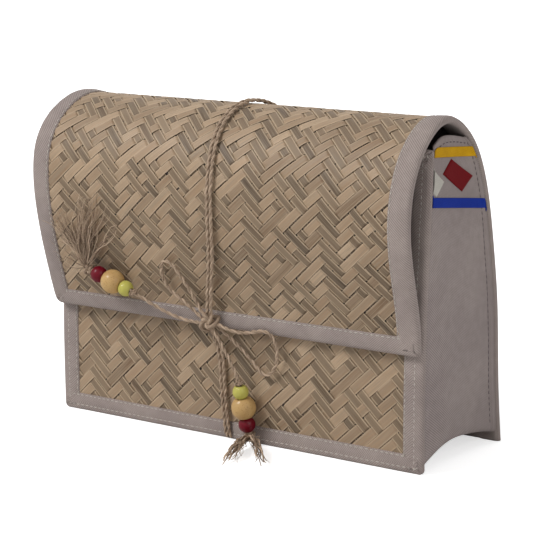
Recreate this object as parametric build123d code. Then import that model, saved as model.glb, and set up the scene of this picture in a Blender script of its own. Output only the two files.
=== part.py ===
from build123d import *
import math
import os

# A folding clutch bag of woven bamboo mat, lined and bound with cotton cloth.
# Lengths are millimetres. X runs along the bag, Y to the back and Z up.
# The origin is on the floor, in the middle of the bag's length and of its whole depth.

# Bag sizes
width = 220.0
base_depth = 76.6
flap_stands_out = 21.5
crown_height = 166.0
crown_over_front = 14.0
flap_hem_height = 57.0

# Sheet thicknesses
mat_thickness = 1.2
lining_thickness = 1.0
tape_thickness = 0.6
gusset_thickness = 1.2
trim_thickness = 0.4

# Bound edges
tape_width = 10.5
hem_tape_width = 9.0

# Gusset
seam_inset = 0.8
arch_rise = 5.9
arch_foot = 3.0
brim_rise = 5.3

# Twine and beads
twine_diameter = 1.9
twine_spacing = 2.15
cord_clearance = 0.3
bead_bore = 2.4
bead_gap = 0.1
notch_middle = -1.0
notch_width = 7.0
notch_height = 2.9
stopper_diameter = 4.0
knot_width = 11.6
knot_depth = 8.0
knot_height = 10.8
tassel_thickness = 3.0
tassel_spread = 20.0

# Beads from each end's stopper knot inwards: name, diameter and length along the bore
beads = (("red", 8.4, 7.4), ("natural", 12.2, 10.0), ("yellow", 7.9, 6.4))

# Ribbons and felt diamonds on the gusset walls
ribbon_width = 4.8
back_seam_width = 7.0
diamond_width = 25.0
diamond_height = 15.0
diamond_lean = 4.0

# Places that follow from the sizes
front_height = crown_height - crown_over_front
front_y = flap_stands_out - (base_depth + flap_stands_out) / 2
back_y = front_y + base_depth
sheet_thickness = mat_thickness + lining_thickness
bound_depth = sheet_thickness + tape_thickness
front_face = front_y + tape_thickness
back_face = back_y - tape_thickness

# Profiles of the mats' outer faces, as (y, z) points that a smooth curve passes through.
# The front panel is read from its top to its foot. The back and flap are one sheet,
# read from the back foot up over the crown and down to the flap's hem.
front_profile = (
    (front_face + 4.9, front_height + 6.0),
    (front_face + 3.6, 0.86 * front_height),
    (front_face + 0.9, 0.56 * front_height),
    (front_face - 0.3, 0.25 * front_height),
    (front_face + 0.3, -6.0),
)
back_profile = (
    (back_face + tape_thickness, -6.0),
    (back_face - 3.8, 0.181 * crown_height),
    (back_face - 6.7, 0.434 * crown_height),
    (back_face - 11.6, 0.608 * crown_height),
    (back_face - 22.6, 0.837 * crown_height),
    (back_face - 30.4, 0.913 * crown_height),
    (back_face - 43.4, 0.976 * crown_height),
)
flap_profile_right = (
    (front_face + 20.9, 0.996 * crown_height),
    (front_face + 3.4, 0.958 * crown_height),
    (front_face - 10.5, 0.852 * crown_height),
    (front_face - 14.9, 0.699 * crown_height),
    (front_face - 9.4, 0.533 * crown_height),
    (front_face - 4.9, flap_hem_height + 12.0),
    (front_face - 4.0, flap_hem_height - 7.0),
)
flap_profile_left = (
    (front_face + 18.5, 0.997 * crown_height),
    (front_face - 3.0, 0.964 * crown_height),
    (front_face - 18.2, 0.870 * crown_height),
    (front_face - flap_stands_out + 0.1, 0.771 * crown_height),
    (front_face - 18.9, 0.633 * crown_height),
    (front_face - 11.3, 0.458 * crown_height),
    (front_face - 2.5, flap_hem_height - 7.0),
)
profile_steps = 26


def layer_curve(profile, x, depth):
    """The profile moved square to itself by depth, towards the inside of the bag."""
    base = Spline(*[(x, y, z) for y, z in profile])
    points = []
    for step in range(profile_steps + 1):
        place = base @ (step / profile_steps)
        along = base % (step / profile_steps)
        points.append(place + Vector(0, -along.Z, along.Y) * depth)
    return Spline(*points)


def section(profile, x, outer, inner):
    """The closed section of a layer of the sheet between two depths, at one end of the bag."""
    outside = layer_curve(profile, x, outer)
    inside = layer_curve(profile, x, inner)
    ends = [Line(outside @ 1, inside @ 1), Line(inside @ 0, outside @ 0)]
    return Face(Wire([outside, ends[0], inside, ends[1]]))


def layer(left, right, outer, inner):
    """A curved sheet between two depths, ruled from the bag's left end to its right end."""
    ends = [section(left, -width / 2, outer, inner), section(right, width / 2, outer, inner)]
    return loft(ends, ruled=True)


def block(x_range, y_range, z_range):
    """A box between two values on each axis."""
    size = [high - low for low, high in (x_range, y_range, z_range)]
    middle = [(high + low) / 2 for low, high in (x_range, y_range, z_range)]
    return Pos(*middle) * Box(*size)


far = 400.0
reach = width / 2
twine_notch = block(
    (notch_middle - notch_width / 2, notch_middle + notch_width / 2),
    (-far, far),
    (-far, notch_height),
)

# Trim on the gusset walls, as (y, z) places on the wall
yellow_ribbon_ends = ((front_face - 5, front_height - 0.4), (front_face + 58, front_height - 5.8))
blue_ribbon_ends = ((front_face - 5, front_height - 23.0), (front_face + 70, front_height - 32.4))
red_diamond_middle = (front_face + 28.4, front_height - 14.2)
white_diamond_middle = (front_face + 3.4, front_height - 13.0)

# Routes of the twine, as (x, y, z) points
knot_place = (-6.5, -37.0, 60.5)
wrap_route = [
    (-6.4, -37.2, 62.0),
    (-4.6, -39.6, 77.0),
    (-0.6, -43.3, 94.0),
    (0.6, -46.2, 111.0),
    (1.0, -47.1, 129.5),
    (-0.4, -42.0, 147.3),
    (-2.6, -30.2, 160.0),
    (-2.2, -16.0, 166.9),
    (0.6, -3.0, 167.2),
    (3.4, 10.6, 161.2),
    (4.4, 20.6, 151.6),
    (4.0, 28.5, 138.1),
    (3.0, 34.5, 120.2),
    (1.8, 40.2, 92.8),
    (0.6, 43.9, 66.0),
    (0.0, 46.4, 42.0),
    (-0.2, 47.9, 24.0),
    (-0.4, 48.9, 12.0),
    (-0.4, 49.5, 5.6),
    (-0.4, 49.5, 2.7),
    (-0.4, 48.2, 1.25),
    (-0.5, 45.0, 1.2),
    (-0.5, 39.0, 1.3),
    (-0.7, 28.0, 1.2),
    (-1.0, 8.0, 1.4),
    (-1.2, -10.0, 1.2),
    (-1.3, -19.5, 1.3),
    (-1.4, -24.5, 1.2),
    (-1.4, -27.6, 1.25),
    (-1.4, -28.9, 2.6),
    (-1.7, -29.2, 6.0),
    (-2.6, -29.1, 12.5),
    (-4.2, -28.9, 24.5),
    (-4.9, -29.2, 43.0),
    (-5.6, -33.0, 53.5),
    (-6.4, -36.8, 59.5),
]
loop_left_route = [
    (-8.0, -38.2, 62.5),
    (-12.4, -37.8, 68.0),
    (-17.2, -40.0, 77.0),
    (-21.8, -42.2, 84.6),
    (-25.6, -43.4, 89.0),
    (-29.6, -43.6, 89.6),
    (-32.2, -42.4, 86.0),
    (-32.4, -40.8, 80.4),
    (-30.4, -39.2, 75.0),
    (-24.8, -38.0, 71.0),
    (-19.0, -37.6, 67.4),
    (-13.6, -37.4, 64.0),
    (-8.5, -37.4, 60.5),
]
loop_right_route = [
    (-2.5, -37.6, 60.5),
    (5.0, -36.8, 57.6),
    (13.8, -35.6, 56.9),
    (21.5, -35.2, 59.0),
    (26.8, -34.6, 59.4),
    (29.6, -32.6, 55.6),
    (30.2, -31.0, 49.2),
    (29.2, -30.4, 42.8),
    (26.2, -30.2, 37.6),
    (21.8, -30.2, 36.0),
    (18.2, -30.4, 38.8),
    (12.2, -31.0, 45.0),
    (6.8, -32.8, 50.4),
    (1.0, -34.6, 56.0),
    (-4.0, -36.4, 59.0),
]
end_left_route = [
    (-10.0, -37.2, 59.5),
    (-18.5, -36.4, 59.0),
    (-28.4, -35.8, 60.2),
    (-36.2, -36.8, 62.8),
    (-42.2, -39.4, 66.4),
    (-47.1, -42.3, 70.0),
    (-75.8, -44.9, 80.1),
]
end_down_route = [
    (-4.2, -38.6, 58.5),
    (0.2, -38.4, 53.0),
    (3.8, -37.6, 46.6),
    (7.5, -37.2, 40.6),
    (10.4, -36.5, 34.8),
    (13.4, -31.3, 4.9),
]
tassel_left_outline = (
    (-78.5, 79.5),
    (-99.0, 99.0),
    (-95.0, 108.5),
    (-73.0, 117.0),
    (-56.5, 118.0),
    (-52.5, 106.0),
    (-73.5, 80.5),
)
tassel_down_end = (30.0, -57.5, 1.8)


def front_sheet(outer, inner, inset):
    """A layer of the front panel, set in from the panel's four edges."""
    sheet = layer(front_profile, front_profile, outer, inner)
    return sheet & block((inset - reach, reach - inset), (-far, far), (inset, front_height - inset))


def back_sheet(outer, inner, inset):
    """A layer of the back and flap, set in from both ends, the back foot and the hem."""
    sheet = layer(back_profile + flap_profile_left, back_profile + flap_profile_right, outer, inner)
    sheet &= block((inset - reach, reach - inset), (-far, far), (inset, far))
    return sheet - block((-far, far), (-far, 0), (-far, flap_hem_height + inset))


def front_panel():
    """The woven front, its lining and the tape folded round all four edges."""
    mat = front_sheet(0, mat_thickness, tape_thickness)
    lining = front_sheet(mat_thickness, sheet_thickness, tape_thickness)
    window = block(
        (tape_width - reach, reach - tape_width),
        (-far, far),
        (hem_tape_width, front_height - hem_tape_width),
    )
    tape = front_sheet(-tape_thickness, bound_depth, 0)
    tape -= front_sheet(0, sheet_thickness, tape_thickness)
    tape -= window
    return {
        "front_mat": mat - twine_notch,
        "front_lining": lining - twine_notch,
        "front_binding": tape - twine_notch,
    }


def back_and_flap():
    """One woven sheet for back and flap, its lining and the tape round its edges."""
    mat = back_sheet(0, mat_thickness, tape_thickness)
    lining = back_sheet(mat_thickness, sheet_thickness, tape_thickness)
    hem_band = block((-far, far), (-far, 0), (-far, flap_hem_height + hem_tape_width))
    foot_band = block((-far, far), (0, far), (-far, hem_tape_width))
    window = block((tape_width - reach, reach - tape_width), (-far, far), (-far, far))
    tape = back_sheet(-tape_thickness, bound_depth, 0)
    tape -= back_sheet(0, sheet_thickness, tape_thickness)
    tape -= window - hem_band - foot_band
    mitre = Polygon(
        (-reach, 0),
        (reach, 0),
        (reach - hem_tape_width, hem_tape_width),
        (hem_tape_width - reach, hem_tape_width),
        align=None,
    )
    foot = extrude(Plane.XZ * mitre, far, dir=(0, 1, 0))
    return {
        "back_flap_mat": mat - twine_notch,
        "back_flap_lining": lining - twine_notch,
        "flap_binding": tape - foot,
        "back_foot_binding": (tape & foot) - twine_notch,
    }


def bag_interior():
    """The space between the inner faces of the taped front and of the taped back and flap."""
    ends = []
    for x, flap in ((-reach, flap_profile_left), (reach, flap_profile_right)):
        under = layer_curve(back_profile + flap, x, bound_depth)
        corner = Vector(x, (under @ 1).Y, (under @ 0).Z)
        ends.append(Face(Wire([under, Line(under @ 1, corner), Line(corner, under @ 0)])))
    under_flap = loft(ends, ruled=True)
    front = layer_curve(front_profile, -reach, bound_depth)
    foot_back = Vector(-reach, far, (front @ 1).Z)
    top_back = Vector(-reach, far, far)
    top_front = Vector(-reach, (front @ 0).Y, far)
    edges = [
        front,
        Line(front @ 1, foot_back),
        Line(foot_back, top_back),
        Line(top_back, top_front),
        Line(top_front, front @ 0),
    ]
    behind_front = extrude(Face(Wire(edges)), width, dir=(1, 0, 0))
    return under_flap & behind_front


def side_of(curve, rise, towards):
    """Everything over or under a curve that runs along Y, for the whole length of the bag."""
    curve = Pos(0, 0, rise) * curve
    away = Vector(0, 0, towards)
    edges = [
        curve,
        Line(curve @ 1, curve @ 1 + away),
        Line(curve @ 1 + away, curve @ 0 + away),
        Line(curve @ 0 + away, curve @ 0),
    ]
    return extrude(Face(Wire(edges)), far, both=True, dir=(1, 0, 0))


def gusset_strip():
    """One cloth strip: two side walls and a base that arches up between the bound feet."""
    inside = bag_interior()
    front_end = front_face + sheet_thickness
    back_end = back_face - sheet_thickness
    span = back_end - front_end
    arch = Spline(
        (0, front_end - 6, arch_foot),
        (0, front_end + 0.37 * span, arch_foot + arch_rise),
        (0, back_end + 6, arch_foot),
    )
    brim = ThreePointArc(
        (0, front_end - 6, front_height - 4),
        (0, front_end + 0.26 * span, front_height + brim_rise),
        (0, front_end + 0.67 * span, front_height - 8),
    )
    side = reach - seam_inset
    strip = inside & block((-side, side), (-far, far), (-far, far))
    strip = (strip & side_of(arch, 0, far)) - side_of(brim, 0, far)
    side -= gusset_thickness
    walls = strip - block((-side, side), (-far, far), (-far, far))
    base = strip - side_of(arch, gusset_thickness, far)
    return walls + base


def trim_on(side, outline, field):
    """A flat piece of ribbon or felt sewn to the outside of one gusset wall, cut to the field."""
    start = reach - seam_inset
    flat = extrude(Plane.YZ * outline, trim_thickness, dir=(1, 0, 0))
    piece = (Pos(start, 0, 0) * flat) & field
    return piece if side > 0 else mirror(piece, about=Plane.YZ)


def gusset_trim():
    """Two ribbons and two felt diamonds on each gusset wall, from the front seam to the back one."""
    inside = bag_interior()
    field = inside & (Pos(0, -back_seam_width, 0) * inside)
    outlines = {
        "yellow_ribbon_": ribbon_outline(*yellow_ribbon_ends),
        "blue_ribbon_": ribbon_outline(*blue_ribbon_ends),
        "red_diamond_": diamond_outline(red_diamond_middle),
        "white_diamond_": diamond_outline(white_diamond_middle),
    }
    pieces = {}
    for side, suffix in ((1, "right"), (-1, "left")):
        for name, outline in outlines.items():
            pieces[name + suffix] = trim_on(side, outline, field)
    return pieces


def ribbon_outline(front_end, back_end):
    """A straight ribbon between two (y, z) middles, cut well past both seams."""
    (y0, z0), (y1, z1) = front_end, back_end
    half = ribbon_width / 2
    return Polygon((y0, z0 - half), (y1, z1 - half), (y1, z1 + half), (y0, z0 + half), align=None)


def diamond_outline(middle):
    """A leaning diamond about a (y, z) middle."""
    y, z = middle
    corners = (
        (y + diamond_lean, z + diamond_height / 2),
        (y - diamond_width / 2, z + diamond_lean / 2),
        (y - diamond_lean, z - diamond_height / 2),
        (y + diamond_width / 2, z - diamond_lean / 2),
    )
    return Polygon(*corners, align=None)


def radii_for(points):
    """The largest easy bend at each inner point of a cord's route."""
    radii = []
    for before, here, after in zip(points, points[1:], points[2:]):
        run_in = Vector(*here) - Vector(*before)
        run_out = Vector(*after) - Vector(*here)
        half_turn = math.radians(run_in.get_angle(run_out)) / 2
        radii.append(0.45 * min(run_in.length, run_out.length) / math.tan(half_turn))
    return radii


def cord(name, points):
    """A round cord along straight runs joined by tangent arcs."""
    radii = radii_for(points)
    path = FilletPolyline(*points, radius=radii)
    tube = sweep(Plane(path @ 0, z_dir=path % 0) * Circle(twine_diameter / 2), path)
    ideal = math.pi * (twine_diameter / 2) ** 2 * path.length
    print(name, "length", round(path.length, 1), "volume ratio", round(tube.volume / ideal, 4))
    print("  radii", [round(radius, 1) for radius in radii])
    return tube


def shifted(points, x):
    """A route moved along the bag."""
    return [(px + x, py, pz) for px, py, pz in points]


def knot_solid():
    """The bow's knot, as the rounded lump that its turns make."""
    ball = Sphere(knot_width / 2)
    return Pos(*knot_place) * scale(ball, (1, knot_depth / knot_width, knot_height / knot_width))


def bead(diameter, length, place):
    """A turned wooden bead: a ball faced off flat at both ends of its bore."""
    ball = Sphere(diameter / 2) & Cylinder(diameter, length)
    return place * (ball - Cylinder(bead_bore / 2, 2 * diameter))


def bead_string(route, suffix):
    """The beads and the stopper knot on the last run of a tie's end, from the knot inwards."""
    last = Vector(*route[-1])
    inwards = (Vector(*route[-2]) - last).normalized()
    pieces = {"stopper_knot_" + suffix: Pos(*last) * Sphere(stopper_diameter / 2)}
    distance = stopper_diameter / 2 + bead_gap
    for colour, diameter, length in beads:
        place = Plane(last + inwards * (distance + length / 2), z_dir=inwards)
        pieces[colour + "_bead_" + suffix] = bead(diameter, length, place.location)
        distance += length + bead_gap
    return pieces


def tie():
    """The doubled twine round the bag, its bow, and its two beaded ends."""
    knot = knot_solid()
    pieces = {"tie_knot": knot}
    strands = {
        "wrap_twine_left": shifted(wrap_route, -twine_spacing / 2),
        "wrap_twine_right": shifted(wrap_route, twine_spacing / 2),
        "bow_loop_left": loop_left_route,
        "bow_loop_right": loop_right_route,
        "tie_end_left": end_left_route,
        "tie_end_down": end_down_route,
    }
    for name, route in strands.items():
        pieces[name] = cord(name, route) - knot
    for route, suffix in ((end_left_route, "left"), (end_down_route, "down")):
        string = bead_string(route, suffix)
        pieces["tie_end_" + suffix] -= string["stopper_knot_" + suffix]
        pieces.update(string)
    fan = extrude(Plane.XZ * Polygon(*tassel_left_outline, align=None), far, dir=(0, -1, 0))
    pile = layer(
        back_profile + flap_profile_left,
        back_profile + flap_profile_right,
        -tassel_thickness - 2 * cord_clearance,
        -2 * cord_clearance,
    )
    pieces["tassel_left"] = (fan & pile) - pieces["stopper_knot_left"]
    root = Vector(*end_down_route[-1])
    along = Vector(*tassel_down_end) - root
    first = Plane(root, z_dir=along) * Circle(stopper_diameter / 4)
    last = Plane(Vector(*tassel_down_end), z_dir=along) * Ellipse(tassel_spread / 2, tassel_thickness / 2)
    pieces["tassel_down"] = loft([first, last]) - pieces["stopper_knot_down"]
    return pieces


def build():
    """Every piece of the bag by name."""
    pieces = {}
    pieces.update(front_panel())
    pieces.update(back_and_flap())
    pieces["gusset"] = gusset_strip()
    pieces.update(gusset_trim())
    pieces.update(tie())
    return pieces


if __name__ == "__main__":
    os.makedirs("parts", exist_ok=True)
    for node, piece in build().items():
        export_step(piece, "parts/" + node + ".step")
        print(node, round(piece.volume, 1))
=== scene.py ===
"""A clutch bag of diamond-twill bamboo mat, bound in cotton tape and tied with beaded twine.

Lengths are metres in the frame's own axes: X along the bag, Y to the back, Z up. Each class
holds one sub-assembly's sizes and builds its meshes from numpy grids. The frame's CAD pieces
give the room that every soft piece fills.
"""

import logging
import math
from dataclasses import dataclass, field
from enum import Enum
from typing import Callable, Optional

import bpy
import numpy as np
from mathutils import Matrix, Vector


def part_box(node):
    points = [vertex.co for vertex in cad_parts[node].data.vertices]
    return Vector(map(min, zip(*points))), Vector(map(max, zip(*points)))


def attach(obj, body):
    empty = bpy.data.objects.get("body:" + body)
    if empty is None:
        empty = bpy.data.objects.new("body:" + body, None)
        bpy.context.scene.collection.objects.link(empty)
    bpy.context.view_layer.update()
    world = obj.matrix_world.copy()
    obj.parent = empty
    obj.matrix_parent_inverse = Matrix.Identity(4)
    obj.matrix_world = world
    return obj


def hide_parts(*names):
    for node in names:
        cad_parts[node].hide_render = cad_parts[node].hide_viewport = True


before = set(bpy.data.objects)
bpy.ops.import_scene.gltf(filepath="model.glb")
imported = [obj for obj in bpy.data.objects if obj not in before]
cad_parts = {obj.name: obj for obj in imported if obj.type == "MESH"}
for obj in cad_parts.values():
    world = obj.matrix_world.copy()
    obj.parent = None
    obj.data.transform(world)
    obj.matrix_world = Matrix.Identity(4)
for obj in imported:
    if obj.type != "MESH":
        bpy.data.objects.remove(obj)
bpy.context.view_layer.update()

LOG = logging.getLogger("clutch")
MM = 0.001
BODY = "root"

# Sizes that several sub-assemblies share, all in millimetres
REACH = 110.0
FRONT_FACE = -26.95
BACK_FACE = 48.45
CROWN_HEIGHT = 166.0
FRONT_HEIGHT = 152.0
HEM_HEIGHT = 57.0
FLAP_STANDS_OUT = 21.5
SHEET_THICKNESS = 2.2
TAPE_THICKNESS = 0.6
TAPE_WIDTH = 10.5
HEM_TAPE_WIDTH = 9.0
TWINE_DIAMETER = 1.9
TWINE_SPACING = 2.15
MAT_MARGIN = 5.6
LINING_MARGIN = 0.7
LINING_DEPTH = 1.32
LINING_THICKNESS = 0.8


class Run(Enum):
    """The way that a strip of the mat runs."""

    RISING = "rising"
    FALLING = "falling"


def linear(red: int, green: int, blue: int) -> tuple[float, float, float, float]:
    """A shader colour from screen values of 0 to 255.

    Args:
        red, green, blue: the screen values.

    Returns:
        The linear colour, with an alpha of 1.
    """
    shares = [value / 255 for value in (red, green, blue)]
    tones = [s / 12.92 if s < 0.04045 else ((s + 0.055) / 1.055) ** 2.4 for s in shares]
    return (tones[0], tones[1], tones[2], 1.0)


# Shader building


class Graph:
    """One node tree, with short calls that add a node and link what feeds it."""

    def __init__(self, tree: bpy.types.NodeTree) -> None:
        """Keeps the tree."""
        self.tree = tree

    def add(self, kind: str, settings: Optional[dict] = None, **inputs: object) -> bpy.types.Node:
        """Adds a node.

        Args:
            kind: the node's type without its ShaderNode prefix.
            settings: properties of the node, by name.
            inputs: values or sockets for its inputs, by name with spaces as underscores.

        Returns:
            The new node.
        """
        node = self.tree.nodes.new("ShaderNode" + kind)
        for name, value in (settings or {}).items():
            setattr(node, name, value)
        for name, value in inputs.items():
            self.feed(node.inputs[name.replace("_", " ")], value)
        return node

    def feed(self, socket: bpy.types.NodeSocket, value: object) -> None:
        """Gives an input its value.

        Args:
            socket: the input.
            value: a socket to link to it, or the input's own value.
        """
        if isinstance(value, bpy.types.NodeSocket):
            self.tree.links.new(value, socket)
        else:
            socket.default_value = value

    def math(self, operation: str, first: object, second: object = 0.0,
             third: Optional[float] = None) -> bpy.types.NodeSocket:
        """A Math node.

        Args:
            operation: what it works out.
            first, second: values or sockets.
            third: the third value, where the operation has one.

        Returns:
            The result's socket.
        """
        node = self.add("Math", {"operation": operation})
        self.feed(node.inputs[0], first)
        self.feed(node.inputs[1], second)
        if third is not None:
            self.feed(node.inputs[2], third)
        return node.outputs[0]

    def map_range(self, value: object, low: float, high: float, start: float = 0.0,
                  stop: float = 1.0) -> bpy.types.NodeSocket:
        """A value carried from one range to another and held inside it.

        Args:
            value: the value or socket.
            low, high: the range that it comes in.
            start, stop: the range that it is given.

        Returns:
            The result's socket.
        """
        node = self.add("MapRange", Value=value)
        for label, limit in (("From Min", low), ("From Max", high), ("To Min", start), ("To Max", stop)):
            node.inputs[label].default_value = limit
        return node.outputs[0]

    def mix(self, share: object, first: object, second: object, blend: str = "MIX") -> bpy.types.NodeSocket:
        """A colour between two, or one blended on the other.

        Args:
            share: of the second colour, from 0 to 1.
            first, second: the colours.
            blend: how the second is laid on the first.

        Returns:
            The result's socket.
        """
        node = self.add("Mix", {"data_type": "RGBA", "blend_type": blend})
        self.feed(node.inputs[0], share)
        self.feed(node.inputs[6], first)
        self.feed(node.inputs[7], second)
        return node.outputs[2]

    def ramp(self, value: object, stops: list[tuple[float, tuple]]) -> bpy.types.NodeSocket:
        """A colour ramp.

        Args:
            value: what it is read at.
            stops: its (place, colour) pairs.

        Returns:
            The colour's socket.
        """
        node = self.add("ValToRGB")
        elements = node.color_ramp.elements
        while len(elements) < len(stops):
            elements.new(0.5)
        for element, (place, colour) in zip(elements, stops):
            element.position = place
            element.color = colour
        self.feed(node.inputs[0], value)
        return node.outputs[0]

    def group(self, tree: bpy.types.NodeTree, **inputs: object) -> bpy.types.Node:
        """Places a node group.

        Args:
            tree: the group.
            inputs: values or sockets for its inputs, by name with spaces as underscores.

        Returns:
            The group's node.
        """
        node = self.tree.nodes.new("ShaderNodeGroup")
        node.node_tree = tree
        for name, value in inputs.items():
            self.feed(node.inputs[name.replace("_", " ")], value)
        return node


class SharedEffects:
    """The node groups that more than one finish uses, each built once."""

    def __init__(self) -> None:
        """Builds the groups."""
        self.grain = self._fibre_grain()
        self.twill = self._twill()
        self.mottle = self._mottle()

    @staticmethod
    def _new(name: str, inputs: list[tuple[str, str, object]], outputs: list[tuple[str, str]]) -> tuple[
        Graph, bpy.types.Node, bpy.types.Node
    ]:
        """Starts a group with named sockets.

        Args:
            name: the group's name.
            inputs: (name, socket type, default or None) of each input.
            outputs: (name, socket type) of each output.

        Returns:
            The group's graph, its input node and its output node.
        """
        tree = bpy.data.node_groups.new(name, "ShaderNodeTree")
        for label, kind, default in inputs:
            socket = tree.interface.new_socket(name=label, in_out="INPUT", socket_type="NodeSocket" + kind)
            if default is not None:
                socket.default_value = default
        for label, kind in outputs:
            tree.interface.new_socket(name=label, in_out="OUTPUT", socket_type="NodeSocket" + kind)
        start = tree.nodes.new("NodeGroupInput")
        end = tree.nodes.new("NodeGroupOutput")
        return Graph(tree), start, end

    def _fibre_grain(self) -> bpy.types.NodeTree:
        """Long fine lines: noise squeezed across the fibre and drawn out along it, at two scales.

        Returns:
            The group.
        """
        graph, start, end = self._new(
            "fibre_grain",
            [("Place", "Vector", None), ("Across", "Float", 2600.0), ("Along", "Float", 60.0)],
            [("Lines", "Float"), ("Streaks", "Float")],
        )
        along, across = start.outputs["Along"], start.outputs["Across"]
        broad_along = graph.math("MULTIPLY", along, 0.4)
        broad_across = graph.math("MULTIPLY", across, 0.3)
        fine = graph.add("CombineXYZ", X=along, Y=across, Z=1.0)
        broad = graph.add("CombineXYZ", X=broad_along, Y=broad_across, Z=1.0)
        results = []
        for size, detail in ((fine, 2.0), (broad, 1.0)):
            place = graph.add("VectorMath", {"operation": "MULTIPLY"})
            graph.feed(place.inputs[0], start.outputs["Place"])
            graph.feed(place.inputs[1], size.outputs[0])
            noise = graph.add("TexNoise", Vector=place.outputs[0], Scale=1.0, Detail=detail, Roughness=0.6)
            results.append(noise.outputs[0])
        graph.feed(end.inputs["Lines"], results[0])
        graph.feed(end.inputs["Streaks"], results[1])
        return graph.tree

    def _twill(self) -> bpy.types.NodeTree:
        """Slanted ribs of a twill: a sine of the place along a slanted line, broken by yarn noise.

        Returns:
            The group.
        """
        graph, start, end = self._new(
            "twill_ribs",
            [("Place", "Vector", None), ("Slant", "Vector", (1.0, 1.0, 0.0)), ("Period", "Float", 0.0008)],
            [("Ribs", "Float"), ("Slubs", "Float")],
        )
        dot = graph.add("VectorMath", {"operation": "DOT_PRODUCT"})
        graph.feed(dot.inputs[0], start.outputs["Place"])
        graph.feed(dot.inputs[1], start.outputs["Slant"])
        turns = graph.math("DIVIDE", dot.outputs["Value"], start.outputs["Period"])
        wave = graph.math("SINE", graph.math("MULTIPLY", turns, 2 * math.pi))
        yarn = graph.add("TexNoise", Vector=start.outputs["Place"], Scale=1500.0, Detail=2.0, Roughness=0.7)
        slub = graph.add("TexNoise", Vector=start.outputs["Place"], Scale=210.0, Detail=3.0, Roughness=0.6)
        ribs = graph.math("MULTIPLY_ADD", wave, 0.34, 0.5)
        graph.feed(end.inputs["Ribs"], graph.math("ADD", ribs, graph.math("MULTIPLY", yarn.outputs[0], 0.35)))
        graph.feed(end.inputs["Slubs"], slub.outputs[0])
        return graph.tree

    def _mottle(self) -> bpy.types.NodeTree:
        """Broad soft patches of tone, as sun and handling leave them.

        Returns:
            The group.
        """
        graph, start, end = self._new(
            "mottle", [("Place", "Vector", None), ("Size", "Float", 0.02)], [("Tone", "Float")]
        )
        scale = graph.math("DIVIDE", 1.0, start.outputs["Size"])
        noise = graph.add("TexNoise", Vector=start.outputs["Place"], Scale=scale, Detail=2.0, Roughness=0.55)
        graph.feed(end.inputs["Tone"], noise.outputs[0])
        return graph.tree


@dataclass(frozen=True)
class Finish:
    """What every finish has: its name and how its shader is started."""

    name: str

    def begin(self, roughness: float, **constants: object) -> tuple[
        bpy.types.Material, Graph, bpy.types.Node
    ]:
        """Makes the material and its shader.

        Args:
            roughness: the shader's own roughness.
            constants: other values set on the shader's own sockets.

        Returns:
            The material, its graph and its shader node.
        """
        material = bpy.data.materials.new(self.name)
        material.use_nodes = True
        material.node_tree.nodes.clear()
        graph = Graph(material.node_tree)
        shader = graph.add("BsdfPrincipled", Roughness=roughness, **constants)
        graph.add("OutputMaterial", Surface=shader.outputs[0])
        return material, graph, shader


@dataclass(frozen=True)
class BambooFinish(Finish):
    """Split bamboo: a tint for each strip, long pale lines, darker streaks and dull sheen."""

    dark: tuple = (0.2, 0.2, 0.2, 1.0)
    middle: tuple = (0.3, 0.3, 0.3, 1.0)
    light: tuple = (0.4, 0.4, 0.4, 1.0)
    edge: tuple = (0.5, 0.5, 0.5, 1.0)
    edge_share: float = 0.4
    line_share: float = 0.5
    tint_weight: float = 0.72
    streak_weight: float = 0.30
    patch_weight: float = 0.34
    tone_drop: float = 0.17
    score_depth: float = 0.5
    score_share: float = 0.8

    def build(self, effects: SharedEffects) -> bpy.types.Material:
        """The material, from the strip's tint and edge attributes, its UV run and the shared grain.

        The tone is a weighted sum of the strip's tint, the grain's streaks and the patches.

        Args:
            effects: the shared node groups.

        Returns:
            The material.
        """
        material, graph, shader = self.begin(0.52, Specular_IOR_Level=0.28)
        run = graph.add("UVMap", {"uv_map": "run"})
        tint = graph.add("Attribute", {"attribute_name": "tint"})
        edge = graph.add("Attribute", {"attribute_name": "edge"})
        place = graph.add("TexCoord").outputs["Object"]
        grain = graph.group(effects.grain, Place=run.outputs[0], Across=2400.0, Along=42.0)
        patches = graph.group(effects.mottle, Place=place, Size=0.018)
        tone = graph.math("ADD", graph.math("MULTIPLY", tint.outputs["Fac"], self.tint_weight),
                          graph.math("MULTIPLY", grain.outputs["Streaks"], self.streak_weight))
        tone = graph.math("ADD", tone, graph.math("MULTIPLY", patches.outputs[0], self.patch_weight))
        tone = graph.math("SUBTRACT", tone, self.tone_drop)
        body = graph.ramp(tone, [(0.1, self.dark), (0.5, self.middle), (0.95, self.light)])
        lines = graph.map_range(grain.outputs["Lines"], 0.42, 0.62)
        lined = graph.mix(graph.math("MULTIPLY", lines, self.line_share), body, self.edge)
        scored = graph.math("SUBTRACT", 1.0, graph.math("MULTIPLY", lines, self.score_depth))
        dim = graph.mix(self.score_share, lined, scored, "MULTIPLY")
        border = graph.map_range(edge.outputs["Fac"], 0.7, 0.92)
        rim = graph.math("MULTIPLY", border, self.edge_share)
        graph.feed(shader.inputs["Base Color"], graph.mix(rim, dim, self.edge))
        rough = graph.math("MULTIPLY_ADD", grain.outputs["Streaks"], 0.3, 0.38)
        graph.feed(shader.inputs["Roughness"], rough)
        bump = graph.add("Bump", Strength=0.8, Distance=0.0002, Height=grain.outputs["Lines"])
        graph.feed(shader.inputs["Normal"], bump.outputs[0])
        return material


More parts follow.
